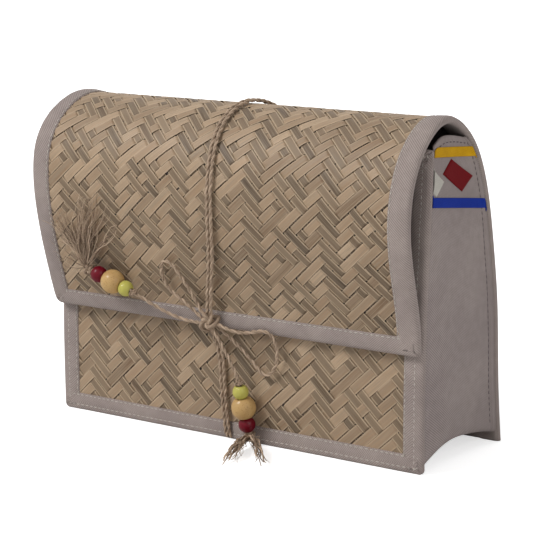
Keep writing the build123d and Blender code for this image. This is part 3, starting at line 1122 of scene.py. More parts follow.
@dataclass
class BoundEdge:
    """Tape folded round the edge of a sheet, along a path of (along, up) places.

    The section runs from the tape's inner edge over its outer face, round the sheet's edge and
    back along the inside. Its place is the path's point, moved in from the sheet's edge.
    """

    name: str
    node: str
    sheet: Sheet
    path: np.ndarray
    inward: np.ndarray
    widths: np.ndarray
    closed: bool
    seed: int
    puff: float = 0.35
    top: float = 1000.0
    stitch_insets: tuple[float, ...] = (0.9,)
    groove_depth: float = 0.26
    groove_width: float = 0.5
    mitre_depth: float = 0.6
    mitre_width: float = 0.45
    mitre_reach: float = 11.5
    thread_sink: float = 0.28

    @staticmethod
    def section() -> np.ndarray:
        """The folded section, round a closed loop.

        Returns:
            Its 28 corners as (share of the width, depth).
        """
        outer, inner = -TAPE_THICKNESS, SHEET_THICKNESS + TAPE_THICKNESS
        face = np.array([1.0, 0.985, 0.93, 0.86, 0.7, 0.5, 0.35, 0.2, 0.1, 0.04])
        rise = np.array([0.45, 0.1, 0.0, -0.1, -0.15, -0.15, -0.15, -0.1, 0.1, 0.55])
        outside = np.stack([face, outer + rise], 1)
        middle = np.array([(0.0, 0.35), (0.0, (outer + inner) / 2), (0.0, inner - 0.95)])
        inside = np.stack([face[::-1], inner - rise[::-1]], 1)
        behind = inner - TAPE_THICKNESS
        back = np.array([(1.0, behind), (0.06, behind), (0.06, 1.0), (0.06, 0.0), (1.0, 0.0)])
        return np.concatenate([outside, middle, inside, back])

    @staticmethod
    def section_caps() -> np.ndarray:
        """What closes an open end of the tape: both legs as fans, and the bend between.

        Returns:
            Quads of the section's corners.
        """
        near = [(27, k, k + 1, k + 2) for k in (0, 2, 4, 6)]
        bend = [(27, 8, 9, 26), (26, 9, 10, 11), (26, 11, 12, 25), (25, 12, 13, 24)]
        far = [(24, k, k + 1, k + 2) for k in (13, 15, 17, 19, 21)]
        return np.array(near + bend + far)

    def relief(self, x: np.ndarray, up: np.ndarray, share: np.ndarray, width: np.ndarray) -> np.ndarray:
        """How far the tape's outer face lies behind its plain section.

        It is two uneven waves, less the tape's own soft crown, with a Gaussian groove under each
        row of stitches and along the mitre of each corner.

        Args:
            x, up: the places on the sheet.
            share: of the tape's width, from the sheet's edge.
            width: of the tape.

        Returns:
            The depth that is added.
        """
        wave = 0.2 * ripple(x, up, 16.0, self.seed) + 0.09 * ripple(x, up, 6.0, self.seed + 1)
        from_rim = width - share * width
        seams = [np.exp(-(((s - from_rim) / self.groove_width) ** 2)) for s in self.stitch_insets]
        groove = self.groove_depth * sum(seams)
        from_end = REACH - np.abs(x)
        from_edge = np.minimum(up, np.abs(self.top - up))
        in_corner = (from_end < self.mitre_reach) * (from_edge < self.mitre_reach)
        mitre = self.mitre_depth * np.exp(-(((from_end - from_edge) / self.mitre_width) ** 2)) * in_corner
        crown = self.puff * np.sin(np.pi * np.clip(share, 0, 1)) ** 0.7
        return wave + groove + mitre - crown + 0.1

    def build(self, wardrobe: Wardrobe, finish: str) -> tuple[bpy.types.Object, bpy.types.Object]:
        """The tape and its rows of stitches.

        Args:
            wardrobe: the finishes.
            finish: which cloth the tape has.

        Returns:
            The tape and the stitches.
        """
        section = self.section()
        share, depth = section[:, 0][None], section[:, 1][None]
        inset = share * self.widths[:, None]
        x = self.path[:, 0][:, None] + self.inward[:, 0][:, None] * inset
        up = self.path[:, 1][:, None] + self.inward[:, 1][:, None] * inset
        outside = (depth < 1.0).astype(float) * (share > 0.02) * (share < 0.98)
        depth = depth + outside * self.relief(x, up, share, self.widths[:, None])
        corners = self.sheet(x, up, depth)
        corners[..., 2] = np.maximum(corners[..., 2], 0.03)
        rows, columns = corners.shape[:2]
        faces, steps = grid_faces(rows, columns, self.closed, True)
        along = lengths_along(self.path)
        along = np.append(along, along[-1] + np.linalg.norm(self.path[0] - self.path[-1]))
        girth = lengths_along(np.stack([section[:, 0] * float(self.widths.mean()), section[:, 1]], 1))
        girth = np.append(girth, girth[-1] + 1.0)
        run = np.stack([along[steps[..., 0]], girth[steps[..., 1]] - TAPE_WIDTH / 2], -1).reshape(-1, 2)
        if not self.closed:
            caps = self.section_caps()
            faces = np.concatenate([faces, caps[:, ::-1], caps + (rows - 1) * columns])
            run = np.concatenate([run, np.zeros((8 * len(caps), 2))])
        tape = Piece(self.name, corners.reshape(-1, 3), faces, run).make(wardrobe[finish])
        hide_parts(self.node)
        rows_of_thread = []
        for inset_from_edge in self.stitch_insets:
            inset = self.widths - inset_from_edge
            line_x = self.path[:, 0] + self.inward[:, 0] * inset
            line_up = self.path[:, 1] + self.inward[:, 1] * inset
            lie = self.relief(line_x, line_up, inset / self.widths, self.widths)
            lie = lie - TAPE_THICKNESS - self.thread_sink
            line = self.sheet(line_x, line_up, lie)
            below = self.sheet(line_x, line_up, np.full(len(line_x), 1.0))
            rows_of_thread.append(stitches(line, unit(line - below)))
        thread = joined(self.name + "_stitches", rows_of_thread).make(wardrobe["pale_thread"])
        return tape, thread


def stitches(line: np.ndarray, outward: np.ndarray, pitch: float = 2.9, length: float = 1.9,
             radius: float = 0.24) -> Piece:
    """A row of thread stitches: rice-grain shapes set along a line.

    Each grain is an ellipsoid-like tube of seven rings of six, whose radius is the root of one
    minus the square of the place along it.

    Args:
        line: points along the seam.
        outward: the cloth's outward direction at those points.
        pitch: from one stitch to the next.
        length: of the thread that shows.
        radius: of the thread.

    Returns:
        The stitches as one piece.
    """
    along = lengths_along(line)
    count = max(2, int(along[-1] / pitch))
    where = (np.arange(count) + 0.5) * along[-1] / count
    centre = np.stack([np.interp(where, along, line[:, k]) for k in range(3)], -1)
    ahead = np.stack([np.interp(where + 0.5, along, line[:, k]) for k in range(3)], -1)
    behind = np.stack([np.interp(where - 0.5, along, line[:, k]) for k in range(3)], -1)
    out = unit(np.stack([np.interp(where, along, outward[:, k]) for k in range(3)], -1))
    ahead = unit(ahead - behind)
    side = unit(np.cross(ahead, out))
    rings = np.sin(np.linspace(-1, 1, 7) * np.pi / 2)
    angles = np.arange(6) * np.pi / 3
    size = radius * np.sqrt(np.maximum(1 - rings**2, 0.02))
    shape = (
        centre[:, None, None] + ahead[:, None, None] * (rings * length / 2)[None, :, None, None]
        + side[:, None, None] * (size[:, None] * np.cos(angles))[None, :, :, None]
        + out[:, None, None] * (size[:, None] * np.sin(angles))[None, :, :, None]
    )
    faces, _ = grid_faces(7, 6, False, True)
    faces = np.concatenate([faces, end_caps(6, 36)])[:, ::-1]
    all_faces = (faces[None] + (np.arange(count) * 42)[:, None, None]).reshape(-1, 4)
    return Piece("row", shape.reshape(-1, 3), all_faces)


def rounded_path(corners: list[tuple[float, float]], radii: list[float], closed: bool, step: float) -> tuple[
    np.ndarray, np.ndarray
]:
    """A path of straight runs with round corners, and the way in from it on its left side.

    Args:
        corners: the (along, up) corners.
        radii: a radius for each corner, which an open path's ends don't use.
        closed: whether the path returns to its start.
        step: the spacing of its points on straight runs.

    Returns:
        The points, and at each the unit vector to its left.
    """
    places = [np.array(corner, dtype=float) for corner in corners]
    points, ways = [], []
    size = len(places)
    for index in range(size if closed else size - 1):
        here, there = places[index], places[(index + 1) % size]
        way = (there - here) / np.linalg.norm(there - here)
        cut_here = radii[index] if closed or index > 0 else 0.0
        cut_there = radii[(index + 1) % size] if closed or index + 1 < size - 1 else 0.0
        start, stop = here + way * cut_here, there - way * cut_there
        count = max(2, int(np.linalg.norm(stop - start) / step))
        left = np.array([-way[1], way[0]])
        points.append(start + (stop - start) * np.linspace(0, 1, count)[:, None])
        ways.append(np.repeat(left[None], count, 0))
        if closed or index + 1 < size - 1:
            after = places[(index + 2) % size] - there
            after = after / np.linalg.norm(after)
            next_left = np.array([-after[1], after[0]])
            turn = np.linspace(0, 1, 9)[1:-1, None]
            blend = unit(left * (1 - turn) + next_left * turn)
            middle = stop + left * cut_there
            points.append(middle - blend * cut_there)
            ways.append(blend)
    return np.concatenate(points), np.concatenate(ways)


def cloth_slab(name: str, sheet: Sheet, x: np.ndarray, up: np.ndarray, depth: float, thickness: float,
               seed: int) -> Piece:
    """A thin closed sheet of cloth over a grid of (x, up) places, gently uneven.

    Args:
        name: the piece's name.
        sheet: where (x, up, depth) lies.
        x, up: the grid's places each way.
        depth: of its outer side.
        thickness: of the cloth.
        seed: picks its unevenness.

    Returns:
        The piece, its two faces joined round the rim.
    """
    grid_x, grid_up = np.meshgrid(x, up, indexing="ij")
    wave = 0.12 * ripple(grid_x, grid_up, 30.0, seed)
    outer = sheet(grid_x, grid_up, np.full(grid_x.shape, depth))
    inner = sheet(grid_x, grid_up, depth + thickness + wave)
    rows, columns = grid_x.shape
    faces, steps = grid_faces(rows, columns)
    place = np.stack([x[steps[..., 0]], up[steps[..., 1]]], -1)
    first = Piece("outer", outer.reshape(-1, 3), faces[:, ::-1], place[:, ::-1].reshape(-1, 2))
    second = Piece("inner", inner.reshape(-1, 3), faces, place.reshape(-1, 2))
    both = joined(name, [first, second])
    edge = np.concatenate([
        np.arange(columns), np.arange(1, rows) * columns + columns - 1,
        (rows - 1) * columns + np.arange(columns - 1)[::-1], np.arange(1, rows - 1)[::-1] * columns,
    ])
    following = np.roll(edge, -1)
    total = rows * columns
    rim = np.stack([edge, following, following + total, edge + total], 1)
    both.faces = np.concatenate([both.faces, rim])
    both.run = np.concatenate([both.run, np.zeros((4 * len(rim), 2))])
    return both


def hang_lining(panel: str, node: str, sheet: Sheet, foot: float, rows: int, seed: int,
                wardrobe: Wardrobe) -> None:
    """Makes a panel's cotton lining, a little short of the panel's edges all round; its cotton is the
    gusset's taupe made darker as painted shade.

    Args:
        panel: the panel's name.
        node: the solid that the lining stands for.
        sheet: maps (x, up, depth) to points.
        foot: the panel's length.
        rows: grid lines along it.
        seed: picks its ripples.
        wardrobe: the finishes.
    """
    side, end = REACH - LINING_MARGIN, foot - LINING_MARGIN
    x, up = np.linspace(-side, side, 90), np.linspace(LINING_MARGIN, end, rows)
    slab = cloth_slab(f"{panel}_lining_cloth", sheet, x, up, LINING_DEPTH, LINING_THICKNESS, seed)
    lining = slab.make(wardrobe["shaded_lining_cotton"])
    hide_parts(node)


@dataclass
class FrontPanel:
    """The woven front, its lining and the tape round its four edges."""

    sheet: FrontSheet

    def build(self, wardrobe: Wardrobe) -> None:
        """Makes the mat, the lining, the binding and its stitches.

        Args:
            wardrobe: the finishes.
        """
        WovenMat("front", "front_mat", self.sheet.place, 3.86, 3.59, (76.9, 25.9), MAT_MARGIN,
                 FRONT_HEIGHT - 5.0, 11).build(wardrobe)
        hang_lining("front", "front_lining", self.sheet.place, FRONT_HEIGHT, 60, 21, wardrobe)
        corners = [(-REACH, 0.0), (REACH, 0.0), (REACH, FRONT_HEIGHT), (-REACH, FRONT_HEIGHT)]
        path, inward = rounded_path(corners, [2.6, 2.2, 2.0, 2.0], True, 1.6)
        upright = np.abs(inward[:, 0])
        widths = HEM_TAPE_WIDTH + (TAPE_WIDTH - HEM_TAPE_WIDTH) * upright
        BoundEdge("front_tape", "front_binding", self.sheet.place, path, inward, widths, True, 31,
                  top=FRONT_HEIGHT, stitch_insets=(0.9, 6.2)).build(wardrobe, "herringbone_cotton")


@dataclass
class BackAndFlap:
    """One woven sheet for back and flap, with its lining and tape."""

    sheet: FlapSheet

    def build(self, wardrobe: Wardrobe) -> None:
        """Makes the mat, the lining, both bindings and their stitches.

        Args:
            wardrobe: the finishes.
        """
        length = self.sheet.length
        WovenMat("flap", "back_flap_mat", self.sheet.place, 3.58, 3.25, (45.6, self.sheet.up_at(103.6)),
                 MAT_MARGIN, length - MAT_MARGIN, 12).build(wardrobe)
        hang_lining("flap", "back_flap_lining", self.sheet.place, length, 150, 22, wardrobe)
        corners = [(-REACH, length), (-REACH, 0.0), (REACH, 0.0), (REACH, length)]
        path, inward = rounded_path(corners, [0.0, 3.4, 2.6, 0.0], False, 1.6)
        upright = np.abs(inward[:, 0])
        wide_right = 1.4 * (path[:, 0] > 100) * np.exp(-path[:, 1] / 90)
        widths = HEM_TAPE_WIDTH + (TAPE_WIDTH - HEM_TAPE_WIDTH + wide_right) * upright
        BoundEdge("flap_tape", "flap_binding", self.sheet.place, path, inward, widths, False,
                  32).build(wardrobe, "tape_cotton")
        corners = [(REACH - 1.0, length), (1.0 - REACH, length)]
        path, inward = rounded_path(corners, [0.0, 0.0], False, 1.6)
        widths = np.full(len(path), HEM_TAPE_WIDTH)
        BoundEdge("back_foot_tape", "back_foot_binding", self.sheet.place, path, inward, widths, False,
                  33).build(wardrobe, "tape_cotton")


@dataclass(frozen=True)
class Trim:
    """A ribbon or patch sewn to both walls.

    Its corners go round it as (distance behind the front's face, height over the front's top).
    """

    label: str
    finish: str
    slot: str
    corners: tuple[tuple[float, float], ...]


@dataclass
class Gusset:
    """One cloth strip for the two side walls and the base, with its ribbons and patches."""

    front: FrontSheet
    flap: FlapSheet
    trims: tuple[Trim, ...] = (
        Trim("yellow_ribbon", "yellow_weave", "yellow_ribbon",
             ((-2.0, -3.0), (55.0, -7.8), (55.0, -3.0), (-2.0, 1.8))),
        Trim("blue_ribbon", "blue_weave", "blue_ribbon",
             ((-2.0, -25.7), (70.0, -34.8), (70.0, -30.0), (-2.0, -20.9))),
        Trim("red_diamond", "red_weave", "red_felt",
             ((34.0, -22.6), (43.6, -16.1), (24.0, -6.0), (15.9, -12.3))),
        Trim("white_diamond", "white_weave", "white_felt",
             ((9.8, -22.4), (17.0, -15.9), (6.0, -8.6), (-2.0, -13.0))),
    )
    inset: float = 0.8
    arch_foot: float = 2.5
    arch_rise: float = 7.4
    arch_peak: float = 0.45
    brim_rise: float = 5.3
    corner: float = 3.0
    thickness: float = 0.9
    trim_thickness: float = 0.3
    welt_at: float = 0.955
    groove_at: float = 0.925
    seam_at: float = 0.918
    welt_width: float = 0.012

    def front_y(self, z: np.ndarray) -> np.ndarray:
        """The y of the taped front's inner face at a height."""
        return self.front.place(0.0, z, SHEET_THICKNESS + TAPE_THICKNESS + 0.1)[..., 1]

    def back_y(self, z: np.ndarray) -> np.ndarray:
        """The y of the taped back's inner face at mid-length.

        Args:
            z: height.

        Returns:
            The y.
        """
        up = np.linspace(0.42, 1.0, 300) * self.flap.length
        line = self.flap.place(0.0, up, SHEET_THICKNESS + TAPE_THICKNESS + 0.1)
        return np.interp(z, line[::-1, 2], line[::-1, 1])

    def arch(self, across: np.ndarray) -> np.ndarray:
        """The base's height: a quarter sine up from the front's foot, then a parabola down.

        Args:
            across: share from the front seam to the back one.

        Returns:
            The height.
        """
        past = np.clip((across - self.arch_peak) / (1 - self.arch_peak), 0, 1)
        before = np.clip(across / self.arch_peak, 0, 1)
        return self.arch_foot + self.arch_rise * (np.sin(np.pi / 2 * before) - 0.7 * past**2)

    def brim(self, across: np.ndarray) -> np.ndarray:
        """The walls' top edge at a share from the front seam to the back one."""
        past = across - 0.37
        return FRONT_HEIGHT + self.brim_rise - np.where(past < 0, 28.0, 8.0) * past**2

    def wall(self, side: float, across: np.ndarray, share: np.ndarray, lift: float) -> np.ndarray:
        """Points on one side wall: a share from seam to seam and from base to brim.

        The wall bows in a little between its seams and is uneven as soft cloth is.

        Args:
            side: 1 for the right wall, -1 for the left.
            across: share from the front seam to the back one.
            share: share of the height.
            lift: how far outside the cloth the point is.

        Returns:
            The points.
        """
        across, share = np.broadcast_arrays(across, share)
        low = self.arch(across)
        z = low + (self.brim(across) - low) * share
        y = self.front_y(z) + (self.back_y(z) - self.front_y(z)) * across
        bow = 0.9 * np.sin(np.pi * across) * np.sin(np.pi * share)
        wave = 0.35 * ripple(y, z, 45.0, 41 + int(side)) * np.sin(np.pi * across)
        welt = 0.7 * np.exp(-(((across - self.welt_at) / self.welt_width) ** 2))
        groove = 0.5 * np.exp(-(((across - self.groove_at) / self.welt_width) ** 2))
        out = REACH - self.inset - bow + wave + 0.6 * (welt - groove) + lift
        return np.stack([side * out, y, z], -1)

    def strip(self) -> Piece:
        """The whole strip, from one brim down, along the base and up to the other brim.

        The walls meet the base in a quadratic curve whose control point is their corner.

        Returns:
            The strip's outer face.
        """
        across = np.concatenate([np.linspace(0, 0.88, 34), np.linspace(0.89, 1.0, 22)])[:, None]
        share = np.linspace(1, 0.03, 90)[None]
        left = self.wall(-1.0, across, share, 0.0)
        right = self.wall(1.0, across, share[:, ::-1], 0.0)
        turn = np.linspace(0, 1, 7)[None, 1:-1]
        x_base = np.linspace(-1, 1, 120)[None] * (REACH - self.inset - self.corner)
        y_base = self.front_y(5.0) + (self.back_y(5.0) - self.front_y(5.0)) * across
        low = self.arch(across)
        wave = 0.35 * ripple(x_base, y_base, 40.0, 44) * np.sin(np.pi * across)
        base = np.stack(np.broadcast_arrays(x_base, y_base, low + wave), -1)
        bends = []
        for start, stop in ((left[:, -1:], base[:, :1]), (base[:, -1:], right[:, :1])):
            farther = np.abs(start[..., 0]) > np.abs(stop[..., 0])
            corner_x = np.where(farther, start[..., 0], stop[..., 0])
            corner_y = (start[..., 1] + stop[..., 1]) / 2
            corner = np.stack([corner_x, corner_y, np.minimum(start[..., 2], stop[..., 2])], -1)
            t = turn[..., None]
            bends.append((1 - t) ** 2 * start + 2 * t * (1 - t) * corner + t**2 * stop)
        grid = np.concatenate([left, bends[0], base, bends[1], right], 1)
        rows, columns = grid.shape[:2]
        faces, steps = grid_faces(rows, columns)
        along = lengths_along(grid[rows // 2])
        width = 66.0 * across[:, 0]
        run = np.stack([width[steps[..., 0]], along[steps[..., 1]]], -1).reshape(-1, 2)
        return Piece("gusset_cloth_strip", grid.reshape(-1, 3), faces[:, ::-1],
                     run.reshape(-1, 4, 2)[:, ::-1].reshape(-1, 2))

    def patch(self, trim: Trim, side: float, word: str, count: int = 40) -> Piece:
        """A ribbon or patch on a wall: its four corners blended over a grid and laid on the cloth.

        Args:
            trim: what is sewn on.
            side: which wall.
            word: the wall's name.
            count: grid steps each way.

        Returns:
            The patch's outer face, with a rim turned down to the wall.
        """
        first, second, third, last = np.array(trim.corners) + np.array([FRONT_FACE, FRONT_HEIGHT])
        a, b = np.meshgrid(np.linspace(0, 1, count), np.linspace(0, 1, count), indexing="ij")
        a, b = a[..., None], b[..., None]
        place = (1 - a) * (1 - b) * first + a * (1 - b) * second + a * b * third + (1 - a) * b * last
        y, z = place[..., 0], place[..., 1]
        front, back = self.front_y(z), self.back_y(z)
        across = np.clip((y - front) / (back - front), 0.004, 0.985)
        low = self.arch(across)
        share = np.clip((z - low) / (self.brim(across) - low), 0, 0.985)
        rim = np.minimum(np.minimum(a, 1 - a), np.minimum(b, 1 - b))[..., 0]
        lift = 0.12 + 0.42 * np.clip(rim / 0.06, 0, 1) ** 0.5
        points = self.wall(side, across, share, 0.0)
        points[..., 0] += side * lift
        faces, steps = grid_faces(count, count)
        run = place[steps[..., 0], steps[..., 1]].reshape(-1, 2)
        if side > 0:
            faces, run = faces[:, ::-1], run.reshape(-1, 4, 2)[:, ::-1].reshape(-1, 2)
        return Piece(f"{trim.label}_{word}_cloth", points.reshape(-1, 3), faces, run)

    def build(self, wardrobe: Wardrobe) -> None:
        """Makes the strip, its trim and its seams.

        Args:
            wardrobe: the finishes.
        """
        strip = self.strip().make(wardrobe["gusset_cotton"])
        thicken(strip, self.thickness)
        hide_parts("gusset")
        for side, word in ((1.0, "right"), (-1.0, "left")):
            for trim in self.trims:
                piece = self.patch(trim, side, word).make(wardrobe[trim.finish])
                thicken(piece, self.trim_thickness)
                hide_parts(f"{trim.label}_{word}")
        rows_of_thread = []
        for side in (1.0, -1.0):
            back_seam = self.wall(side, np.full(120, self.seam_at), np.linspace(0.03, 0.985, 120), 0.1)
            brim_seam = self.wall(side, np.linspace(0.04, 0.88, 80), np.full(80, 0.978), 0.1)
            for line in (back_seam, brim_seam):
                rows_of_thread.append(stitches(line, np.tile([side, 0.0, 0.0], (len(line), 1))))
        seams = joined("gusset_seams", rows_of_thread).make(wardrobe["dark_thread"])


# Twine, knots, tassels and beads


def spline_points(name: str, route: np.ndarray, spacing: float) -> np.ndarray:
    """Points read at an even spacing from the smooth curve that a route's points control.

    Args:
        name: for the short-lived curve.
        route: the control points, in millimetres.
        spacing: between the points that are returned.

    Returns:
        The points, in millimetres.
    """
    curve = bpy.data.curves.new(name, "CURVE")
    curve.dimensions = "3D"
    spline = curve.splines.new("NURBS")
    spline.points.add(len(route) - 1)
    spline.points.foreach_set("co", np.column_stack([route * MM, np.ones(len(route))]).ravel())
    spline.order_u = 3
    spline.use_endpoint_u = True
    spline.resolution_u = 24
    holder = bpy.data.objects.new(name, curve)
    mesh = bpy.data.meshes.new_from_object(holder)
    read = np.empty(3 * len(mesh.vertices))
    mesh.vertices.foreach_get("co", read)
    bpy.data.meshes.remove(mesh)
    bpy.data.objects.remove(holder)
    bpy.data.curves.remove(curve)
    line = read.reshape(-1, 3) / MM
    along = lengths_along(line)
    even = np.linspace(0, along[-1], max(8, int(along[-1] / spacing)))
    return np.stack([np.interp(even, along, line[:, k]) for k in range(3)], -1)


def tube(line: np.ndarray, radius: np.ndarray, across: np.ndarray, sides: int, tint: float,
         closed: bool = False, offset: float = 0.0) -> Piece:
    """A tube whose rings stand square to a line.

    Args:
        line: its middle points.
        radius: at each point.
        across: a direction that no part of the line follows, which starts each ring.
        sides: corners of a ring.
        tint: the mark that its shader reads.
        closed: whether the line returns to its start.
        offset: moves its pattern along.

    Returns:
        The tube.
    """
    if closed:
        along = unit(np.roll(line, -1, 0) - np.roll(line, 1, 0))
    else:
        along = unit(np.gradient(line, axis=0))
    first = unit(np.cross(along, across))
    second = np.cross(along, first)
    angles = np.arange(sides) * 2 * np.pi / sides
    ring = first[:, None] * np.cos(angles)[:, None] + second[:, None] * np.sin(angles)[:, None]
    corners = line[:, None] + ring * np.broadcast_to(radius, len(line))[:, None, None]
    faces, steps = grid_faces(len(line), sides, closed, True)
    places = lengths_along(line)
    places = np.append(places, places[-1] + np.linalg.norm(line[0] - line[-1])) + offset
    girth = np.arange(sides + 1) * 2 * np.pi * float(np.mean(radius)) / sides
    run = np.stack([places[steps[..., 0]], girth[steps[..., 1]]], -1).reshape(-1, 2)
    if not closed:
        caps = end_caps(sides, (len(line) - 1) * sides)
        faces = np.concatenate([faces, caps])
        run = np.concatenate([run, np.zeros((4 * len(caps), 2))])
    return Piece("tube", corners.reshape(-1, 3), faces, run, {"tint": np.full(len(line) * sides, tint)})


def plied(line: np.ndarray, across: np.ndarray, diameter: float, pitch: float, seed: int) -> list[Piece]:
    """Two plies twisted round a line: each is a tube along a helix, thicker and thinner by chance.

    Args:
        line: the cord's middle points.
        across: a direction that the line doesn't follow.
        diameter: of the whole cord.
        pitch: of the twist.
        seed: picks the unevenness.

    Returns:
        The plies.
    """
    chance = np.random.default_rng(seed)
    along = unit(np.gradient(line, axis=0))
    first = unit(np.cross(along, across))
    second = np.cross(along, first)
    distance = lengths_along(line)
    uneven = 0.35 * np.sin(distance / 9.0 + chance.uniform(0, 6.28))
    plies = []
    for ply in range(2):
        angle = 2 * np.pi * distance / pitch + np.pi * ply + uneven
        throw = 0.235 * diameter * (1 + 0.08 * np.sin(distance / 5.0 + chance.uniform(0, 6.28)))
        middle = line + first * (throw * np.cos(angle))[:, None] + second * (throw * np.sin(angle))[:, None]
        radius = 0.272 * diameter * (1 + 0.09 * np.sin(distance / 3.1 + chance.uniform(0, 6.28)))
        plies.append(tube(middle, radius, across, 8, 0.45 + 0.2 * ply, offset=500.0 * ply + seed))
    return plies


def fibres(roots: np.ndarray, tips: np.ndarray, bend: np.ndarray, radius: float, seed: int,
           keep_out: Optional[Callable[[np.ndarray], np.ndarray]] = None, wave: float = 0.6,
           steps: int = 12) -> Piece:
    """Loose fibres: each a thin four-sided tube from a root to a tip along a bowed, wavy line.

    The line at a share t is root + (tip - root) t + bend 4 t (1 - t) + two small sines.

    Args:
        roots, tips: the ends of each fibre.
        bend: how far the middle of each is pushed aside.
        radius: at the root, thinning to a third at the tip.
        seed: picks the waves and tints.
        keep_out: moves points out of what the fibres lie on.
        wave: the size of the waves.
        steps: how many rings each fibre has.

    Returns:
        The fibres as one piece.
    """
    chance = np.random.default_rng(seed)
    count, sides = len(roots), 4
    t = np.linspace(0, 1, steps)[None, :, None]
    line = roots[:, None] + (tips - roots)[:, None] * t + bend[:, None] * 4 * t * (1 - t)
    for turns in (1.3, 3.1):
        phase = chance.uniform(0, 2 * np.pi, (count, 1, 3))
        line = line + wave / turns * np.sin(2 * np.pi * turns * t + phase) * t**0.7
    if keep_out is not None:
        line = keep_out(line)
    along = unit(np.gradient(line, axis=1))
    across = unit(np.cross(along, chance.normal(size=(count, 1, 3))))
    other = np.cross(along, across)
    angles = np.arange(sides) * 2 * np.pi / sides
    size = (radius * chance.uniform(0.6, 1.3, (count, 1)) * (1 - 0.66 * t[..., 0]))[:, :, None, None]
    corners = line[:, :, None] + size * (
        across[:, :, None] * np.cos(angles)[:, None] + other[:, :, None] * np.sin(angles)[:, None]
    )
    faces, places = grid_faces(steps, sides, False, True)
    caps = end_caps(sides, (steps - 1) * sides)
    faces = np.concatenate([faces, caps])
    all_faces = (faces[None] + (np.arange(count) * steps * sides)[:, None, None]).reshape(-1, 4)
    run = np.stack([places[..., 0] * 2.0, places[..., 1] * 0.3], -1).reshape(1, -1, 2)
    run = np.concatenate([run, np.zeros((1, 4 * len(caps), 2))], 1)
    run = (run + chance.uniform(0, 300, (count, 1, 2))).reshape(-1, 2)
    tint = np.repeat(chance.uniform(0.15, 1.0, count), steps * sides)
    return Piece("fibres", corners.reshape(-1, 3), all_faces, run, {"tint": tint})


def above_floor(line: np.ndarray) -> np.ndarray:
    """Keeps points above the floor.

    Args:
        line: the points.

    Returns:
        The points, each at least 0.25 mm up.
    """
    floor = 0.25 + 0.2 * np.abs(np.sin(line[..., 0] * 3))
    return np.stack([line[..., 0], line[..., 1], np.maximum(line[..., 2], floor)], -1)


def fuzz(line: np.ndarray, density: float, seed: int, size: float = 2.4) -> Piece:
    """Short hairs that stand off a cord: rooted at random places, swept along it and outwards.

    Args:
        line: the cord's middle points.
        density: hairs for each millimetre.
        seed: picks the hairs.
        size: their usual length.

    Returns:
        The hairs as one piece.
    """
    chance = np.random.default_rng(seed)
    along = unit(np.gradient(line, axis=0))
    total = lengths_along(line)[-1]
    count = max(3, int(total * density))
    index = chance.integers(1, len(line) - 1, count)
    roots = line[index] + chance.normal(0, 0.25, (count, 3))
    out = unit(np.cross(along[index], chance.normal(size=(count, 3))))
    sweep = chance.choice([-1.0, 1.0], (count, 1)) * along[index]
    length = chance.gamma(3.0, size / 3.0, (count, 1)).clip(0.8, 2.2 * size)
    tips = roots + (sweep * 0.85 + out * chance.uniform(0.15, 0.7, (count, 1))) * length
    bend = chance.normal(0, 0.12, (count, 3)) * length
    return fibres(roots, tips, bend, 0.075, seed + 1, above_floor, wave=0.15, steps=7)


@dataclass
class Cord:
    """One piece of the tie's twine, along its route's smooth curve."""

    name: str
    node: str
    route: list[tuple[float, float, float]]
    across: tuple[float, float, float]
    far_end: str
    lay: str
    seed: int
    pitch: float = 7.4
    hairs: float = 0.9

    def build(self, wardrobe: Wardrobe, with_pieces: list[bpy.types.Object]) -> bpy.types.Object:
        """The twisted cord with its hairs.

        Args:
            wardrobe: the finishes.
            with_pieces: the knots, beads and tassels on it; not used.

        Returns:
            The cord.
        """
        line = spline_points(self.name + "_line", np.array(self.route), 0.7)
        across = np.array(self.across)
        hairs = fuzz(line, self.hairs, self.seed + 70)
        hairs.name = self.name + "_fuzz"
        loose = hairs.make(wardrobe["jute_fibre"])
        cord = joined(self.name, plied(line, across, TWINE_DIAMETER, self.pitch, self.seed)).make(
            wardrobe["jute_fibre"])
        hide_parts(self.node)
        return cord


